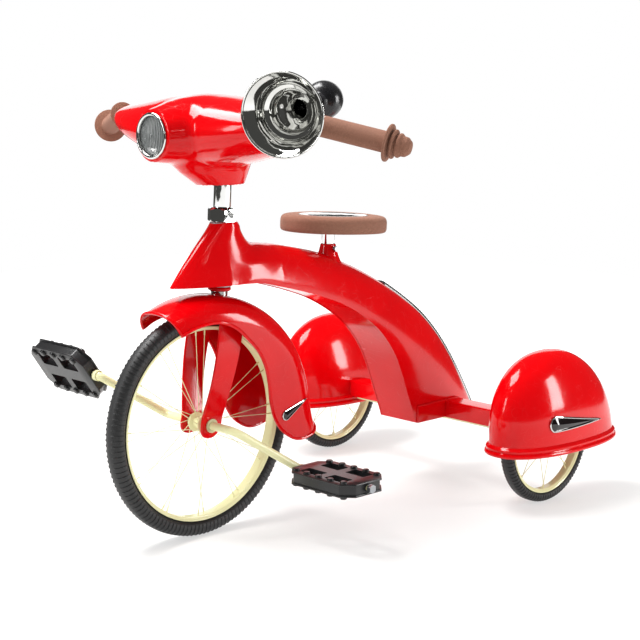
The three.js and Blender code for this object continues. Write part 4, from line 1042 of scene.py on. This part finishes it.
grip_profile = [(8.8, -3), (20, -3), (20, 0), (15.5, 2), (15.5, GRIP - 2), (27, GRIP - 1.5), (27, GRIP + 1.5),
                (15, GRIP + 3.5), (21, GRIP + 7), (21, GRIP + 9.5), (14, GRIP + 11.5), (17.5, GRIP + 15),
                (17.5, GRIP + 17.5), (14.5, GRIP + 21), (14, GRIP + 27), (9, GRIP + 33), (0, GRIP + 35),
                (0, GRIP + 20), (8.8, GRIP + 20)]
for name, side in SIDES:
    foot = spot(GRIP_AT.x, side * GRIP_AT.y, GRIP_AT.z)
    grip = lathe("grip_moulded_" + name, grip_profile, foot, grip_way(side), steps=96, soft=0.9)
    finish_piece(grip, BROWN_RUBBER, "steering", "grip_" + name)

DIP, SWING = math.radians(5), math.radians(27.5)
HORN_WAY = Vector((math.cos(DIP) * math.cos(SWING), math.cos(DIP) * math.sin(SWING), -math.sin(DIP)))
HORN_MOUTH = spot(65, 250, 662)
HORN_CHROME = chrome("spun_chrome_plate", "#D4D4D1", 1.6)
bell = lathe("horn_bell_spun", [
    (8.5, -163), (8.5, -84), (10, -78), (16, -66), (24, -60), (29, -56), (31, -50), (31, -42), (34, -38),
    (40, -35.6), (41.6, -29), (42, -22), (46, -16), (52, -9), (58.5, -3.4), (60, -1.4), (60.2, 0.2), (59, 1),
    (57.4, 0.2), (56.6, -1.8), (50.4, -7.6), (44.4, -14.6), (40.4, -21), (39.8, -29), (38.4, -34), (32.4, -37),
    (29.4, -41), (29.2, -50), (27.4, -54.4), (22, -58.4), (15, -63.4), (9, -75), (7, -84), (7, -163)],
    HORN_MOUTH, HORN_WAY, steps=120, soft=0.8)
finish_piece(bell, HORN_CHROME, "steering", "horn_bell")
GLOSS_BULB = rubber("polished_black_rubber", "#0B0B0C", "#17171A", 0.26, 2.2)
bulb = lathe("horn_bulb_moulded", [
    (0, -152), (12, -152), (12, -162), (18, -165.4), (23, -169), (27.4, -177), (28.8, -186), (27.4, -196),
    (23.4, -206), (17.4, -212.6), (9, -217), (0, -218)], HORN_MOUTH, HORN_WAY, steps=96, soft=3.2)
finish_piece(bulb, GLOSS_BULB, "steering", "horn_bulb")
dress(BRIGHT_CHROME, "horn_bracket")

# ---- wheels ----
# Each wheel is a rolled cream steel rim laced with wire spokes to a turned hub, under a solid rubber tyre.
# The tyre's shoulders carry moulded cross ribs. A node tree turns one rib, or one spoke, round the wheel.
FACES = (("near", 1), ("far", -1))


def around(name, piece, count, middle, material):
    """Repeats one small piece round the Y line through the middle, and returns the set as one plain mesh."""
    tree = bpy.data.node_groups.new(name + "_nodes", "GeometryNodeTree")
    face = tree.interface
    face.new_socket("Geometry", in_out="INPUT", socket_type="NodeSocketGeometry")
    sockets = {key: face.new_socket(key, in_out="INPUT", socket_type=kind) for key, kind in (
        ("Piece", "NodeSocketObject"), ("Count", "NodeSocketInt"), ("Middle", "NodeSocketVector"),
        ("Finish", "NodeSocketMaterial"))}
    face.new_socket("Geometry", in_out="OUTPUT", socket_type="NodeSocketGeometry")
    given = add(tree, "NodeGroupInput").outputs
    spots = add(tree, "GeometryNodePoints", {"Count": given["Count"], "Position": given["Middle"]})
    index = add(tree, "GeometryNodeInputIndex").outputs[0]
    share = add(tree, "ShaderNodeMath", {0: index, 1: given["Count"]}, operation="DIVIDE").outputs[0]
    angle = add(tree, "ShaderNodeMath", {0: share, 1: math.tau}, operation="MULTIPLY").outputs[0]
    turn = add(tree, "ShaderNodeCombineXYZ", {"Y": angle}).outputs[0]
    shape = add(tree, "GeometryNodeObjectInfo", {"Object": given["Piece"]}).outputs["Geometry"]
    copies = add(tree, "GeometryNodeInstanceOnPoints", {"Points": spots.outputs[0], "Instance": shape,
                                                        "Rotation": turn})
    solid = add(tree, "GeometryNodeRealizeInstances", {"Geometry": copies.outputs[0]})
    dressed = add(tree, "GeometryNodeSetMaterial", {"Geometry": solid.outputs[0],
                                                    "Material": given["Finish"]})
    add(tree, "NodeGroupOutput", {0: dressed.outputs[0]})
    holder = mesh_object(name + "_holder", [(0, 0, 0)], [])
    stack = holder.modifiers.new(name, "NODES")
    stack.node_group = tree
    for key, value in (("Piece", piece), ("Count", count), ("Middle", middle), ("Finish", material)):
        stack[sockets[key].identifier] = value
    graph = bpy.context.evaluated_depsgraph_get()
    plain = bpy.data.meshes.new_from_object(holder.evaluated_get(graph), depsgraph=graph)
    made = bpy.data.objects.new(name, plain)
    bpy.context.scene.collection.objects.link(made)
    bpy.data.objects.remove(holder)
    bpy.data.objects.remove(piece)
    return made


def spoke(name, flange, flange_y, reach, side, wire):
    """A headed wire from the hub flange to the rim, drawn about the wheel's middle."""
    at, start = side * 0.05, side * 0.05 - side * 0.55
    inner = Vector((flange * math.cos(start), side * flange_y, flange * math.sin(start))) / 1000
    outer = Vector((reach * math.cos(at), side * 2, reach * math.sin(at))) / 1000
    steps = [inner + (outer - inner) * t for t in (-0.012, 0.0, 0.93, 0.935, 1.03)]
    rings = []
    run = (outer - inner).normalized()
    across = run.orthogonal().normalized()
    lift = run.cross(across)
    for p, r in zip(steps, (wire * 1.5, wire, wire, wire * 1.9, wire * 1.9)):
        turns = [math.tau * k / 8 for k in range(8)]
        rings.append([p + (across * math.cos(a) + lift * math.sin(a)) * r / 1000 for a in turns])
    return skin_over(name, rings)


def rib(name, radius, depth, half, side, thick):
    """One moulded cross rib that follows the tyre's shoulder."""
    middle, rings = radius - depth * 0.55, []
    for k in range(8):
        t = math.radians(-30 + 108 * k / 7)
        r, y = middle + math.sin(t) * depth * 0.545, side * math.cos(t) * half
        out = Vector((math.sin(t), 0, math.cos(t)))
        lift = 1.05 if 0 < k < 7 else -0.3
        foot = (r - 0.8 * out.x, y - side * 0.8 * out.z)
        head = (r + lift * out.x, y + side * lift * out.z)
        corners = (foot + (-thick,), head + (-thick * 0.5,), head + (thick * 0.5,), foot + (thick,))
        rings.append([Vector(p) / 1000 for p in corners])
    return skin_over(name, rings)


def wheel(key, suffix, x, y, radius, depth, half, ribs, thick, pairs, hub_sizes, body):
    """One wheel: the tyre with its ribs, the rolled rim, and the hub with its spokes."""
    middle = spot(x, y, radius)
    outline = [(radius - depth - 5.2, half * 0.58), (radius - depth + 1, half * 0.62)]
    for k in range(19):
        t = math.radians(-30 + 120 * k / 18)
        outline.append((radius - depth * 0.55 + math.sin(t) * depth * 0.55, math.cos(t) * half))
    outline += mirrored(outline[:-1])
    tyre = lathe(key + "_tyre_moulded" + suffix, outline, middle, LEFTWARD, steps=144, soft=0)
    weld(tyre, *[around("%s_ribs_%s" % (key + suffix, name), rib("one_rib", radius, depth, half, side, thick),
                        ribs, middle, TYRE_RUBBER) for name, side in FACES])
    finish_piece(tyre, TYRE_RUBBER, body, key + "_tyre" + suffix)
    top, neck = radius - depth, half * 0.62 + GAP
    side_line = [(top - 5.55, half * 0.58 + GAP), (top, neck + 0.4), (top + 0.6, neck + 1.5),
                 (top - 0.4, neck + 2.4), (top - 2.6, neck + 1.4), (top - 5.2, half * 0.56),
                 (top - 6.2, half * 0.44)]
    rim = lathe(key + "_rim_rolled" + suffix, side_line + mirrored(side_line), middle, LEFTWARD, steps=144,
                soft=0.5)
    finish_piece(rim, CREAM, body, key + "_rim" + suffix)
    flange, flange_y, barrel, hub_half = hub_sizes
    line = [(7.0, hub_half), (barrel, hub_half), (barrel, flange_y + 3.4), (flange, flange_y + 1.4),
            (flange, flange_y - 1.4), (barrel, flange_y - 4)]
    hub = lathe(key + "_hub_turned" + suffix, line + mirrored(line), middle, LEFTWARD, soft=0.7)
    weld(hub, *[around("%s_spokes_%s" % (key + suffix, name),
                       spoke("one_spoke", flange - 3, flange_y, top - 5.8, side, 0.6),
                       pairs, middle, CREAM) for name, side in FACES])
    finish_piece(hub, CREAM, body, key + "_hub" + suffix)


wheel("front", "", 0, 0, HUB_Z, 25, 15, 132, 1.7, 12, (15.5, 10.5, 9, 19), "front_wheel")
for name, side in SIDES:
    wheel("rear", "_" + name, AXLE_X, side * TRACK / 2, AXLE_Z, 16, 11.5, 96, 1.5, 8, (12.5, 10, 8.6, 18.5),
          "rear_wheel_" + name)

# ---- crank and pedals ----
# The front axle and both cranks are one forged bar in cream enamel, ending in the pedal spindles.
# The pedals are black mouldings with four windows, flanged lips and studs, held by zinc-plated nuts.
CRANK, LEAN, PEDAL_Y, LONG, DEEP, HIGH = 135, math.radians(33), 186, 134, 88, 21
THROW = Vector((-math.cos(LEAN), 0, -math.sin(LEAN)))
half_crank = [(0, 40), (0, 66), (1.4, 75), (7, 81.5), (16, 84.5), (40, 89), (70, 94.5), (100, 99.6),
              (121, 103.5), (131, 106), (CRANK, 110), (CRANK, 113)]
crank_line = [(-r, -y) for r, y in reversed(half_crank)] + [(0, 0)] + half_crank


def off_axle(r, y):
    """A point of the crank, from its place out along the throw and to the left."""
    return spot(r * THROW.x, y, HUB_Z + r * THROW.z)


crank = tube_along("crank_forged", [off_axle(r, y) for r, y in smooth_rows(crank_line, 145)], 0.0065, 24,
                   looped=False)
outer = PEDAL_Y + LONG / 2 + 8
spindle = [(0, 110), (8.5, 108), (8.5, 115.6), (4.5, 115.8), (4.5, outer - 0.6), (3.9, outer), (0, outer)]
weld(crank, *[lathe("spindle", spindle, off_axle(side * CRANK, 0), LEFTWARD * side, steps=36, soft=0.5)
              for side in (1, -1)])
finish_piece(crank, CREAM, "front_wheel", "crank_axle")
BLACK_PLASTIC = rubber("moulded_black_plastic", "#0C0C0D", "#19191B", 0.32, 1.4)


def pedal_outline(deep, long, corner):
    x, y = deep / 2, long / 2
    return [(x, y - corner), (x - corner, y), (corner - x, y), (-x, y - corner), (-x, corner - y),
            (corner - x, -y), (x - corner, -y), (x, corner - y)]


def flat_block(name, outline, low, high, bevel):
    made = skin_over(name, [[Vector((x, y, z)) / 1000 for x, y in outline] for z in (low, high)])
    modify(made, "BEVEL", width=bevel / 1000, segments=2, limit_method="ANGLE")
    return settle(made)


def pedal(name, side, tilt):
    block = flat_block("pedal_block", pedal_outline(DEEP, LONG, 18), 2 - HIGH / 2, HIGH / 2 - 2, 1.2)
    for face in (1, -1):
        edge = face * (HIGH / 2 - 1.8)
        lip = flat_block("pedal_lip", pedal_outline(DEEP + 5, LONG + 5, 19), edge - 1.6, edge + 1.6, 1.1)
        combine(block, lip, "UNION")
    for sx in (-1, 1):
        for sy in (-1, 1):
            cx, cy, dx, dy = sx * DEEP * 0.26, sy * LONG * 0.2, DEEP * 0.135, LONG * 0.145
            window = [(cx - dx, cy - dy), (cx + dx, cy - dy), (cx + dx, cy + dy), (cx - dx, cy + dy)]
            hole = flat_block("pedal_window", window, -20, 20, 2.0)
            combine(block, hole, "DIFFERENCE")
    bore = lathe("pedal_bore", [(0, -90), (4.85, -90), (4.85, 90), (0, 90)], Vector(), LEFTWARD, steps=32,
                 soft=0)
    combine(block, bore, "DIFFERENCE")
    studs = []
    for face in (1, -1):
        for sx in (-1, 1):
            for sy in (-2, -1, 0, 1, 2):
                inset = 5.5 + 2.5 * (abs(sy) == 2)
                foot = Vector((sx * (DEEP / 2 - inset), sy * LONG * 0.19, face * (HIGH / 2 - 1))) / 1000
                studs.append(lathe("pedal_stud", [(0, -1), (6.0, -1), (5.7, 2.4), (4.6, 4.4), (0, 4.6)], foot,
                                   UP * face, steps=12, soft=0.4))
    weld(block, *studs)
    at = off_axle(side * CRANK, side * PEDAL_Y)
    block.data.transform(Matrix.Translation(at) @ Matrix.Rotation(tilt, 4, "Y"))
    block.name = "pedal_moulded_" + name
    finish_piece(block, BLACK_PLASTIC, "pedal_" + name, "pedal_" + name)


pedal("left", 1, 0.0)
pedal("right", -1, math.radians(-55))
dress(ZINC_STEEL, "pedal_nut_left", "pedal_nut_right")
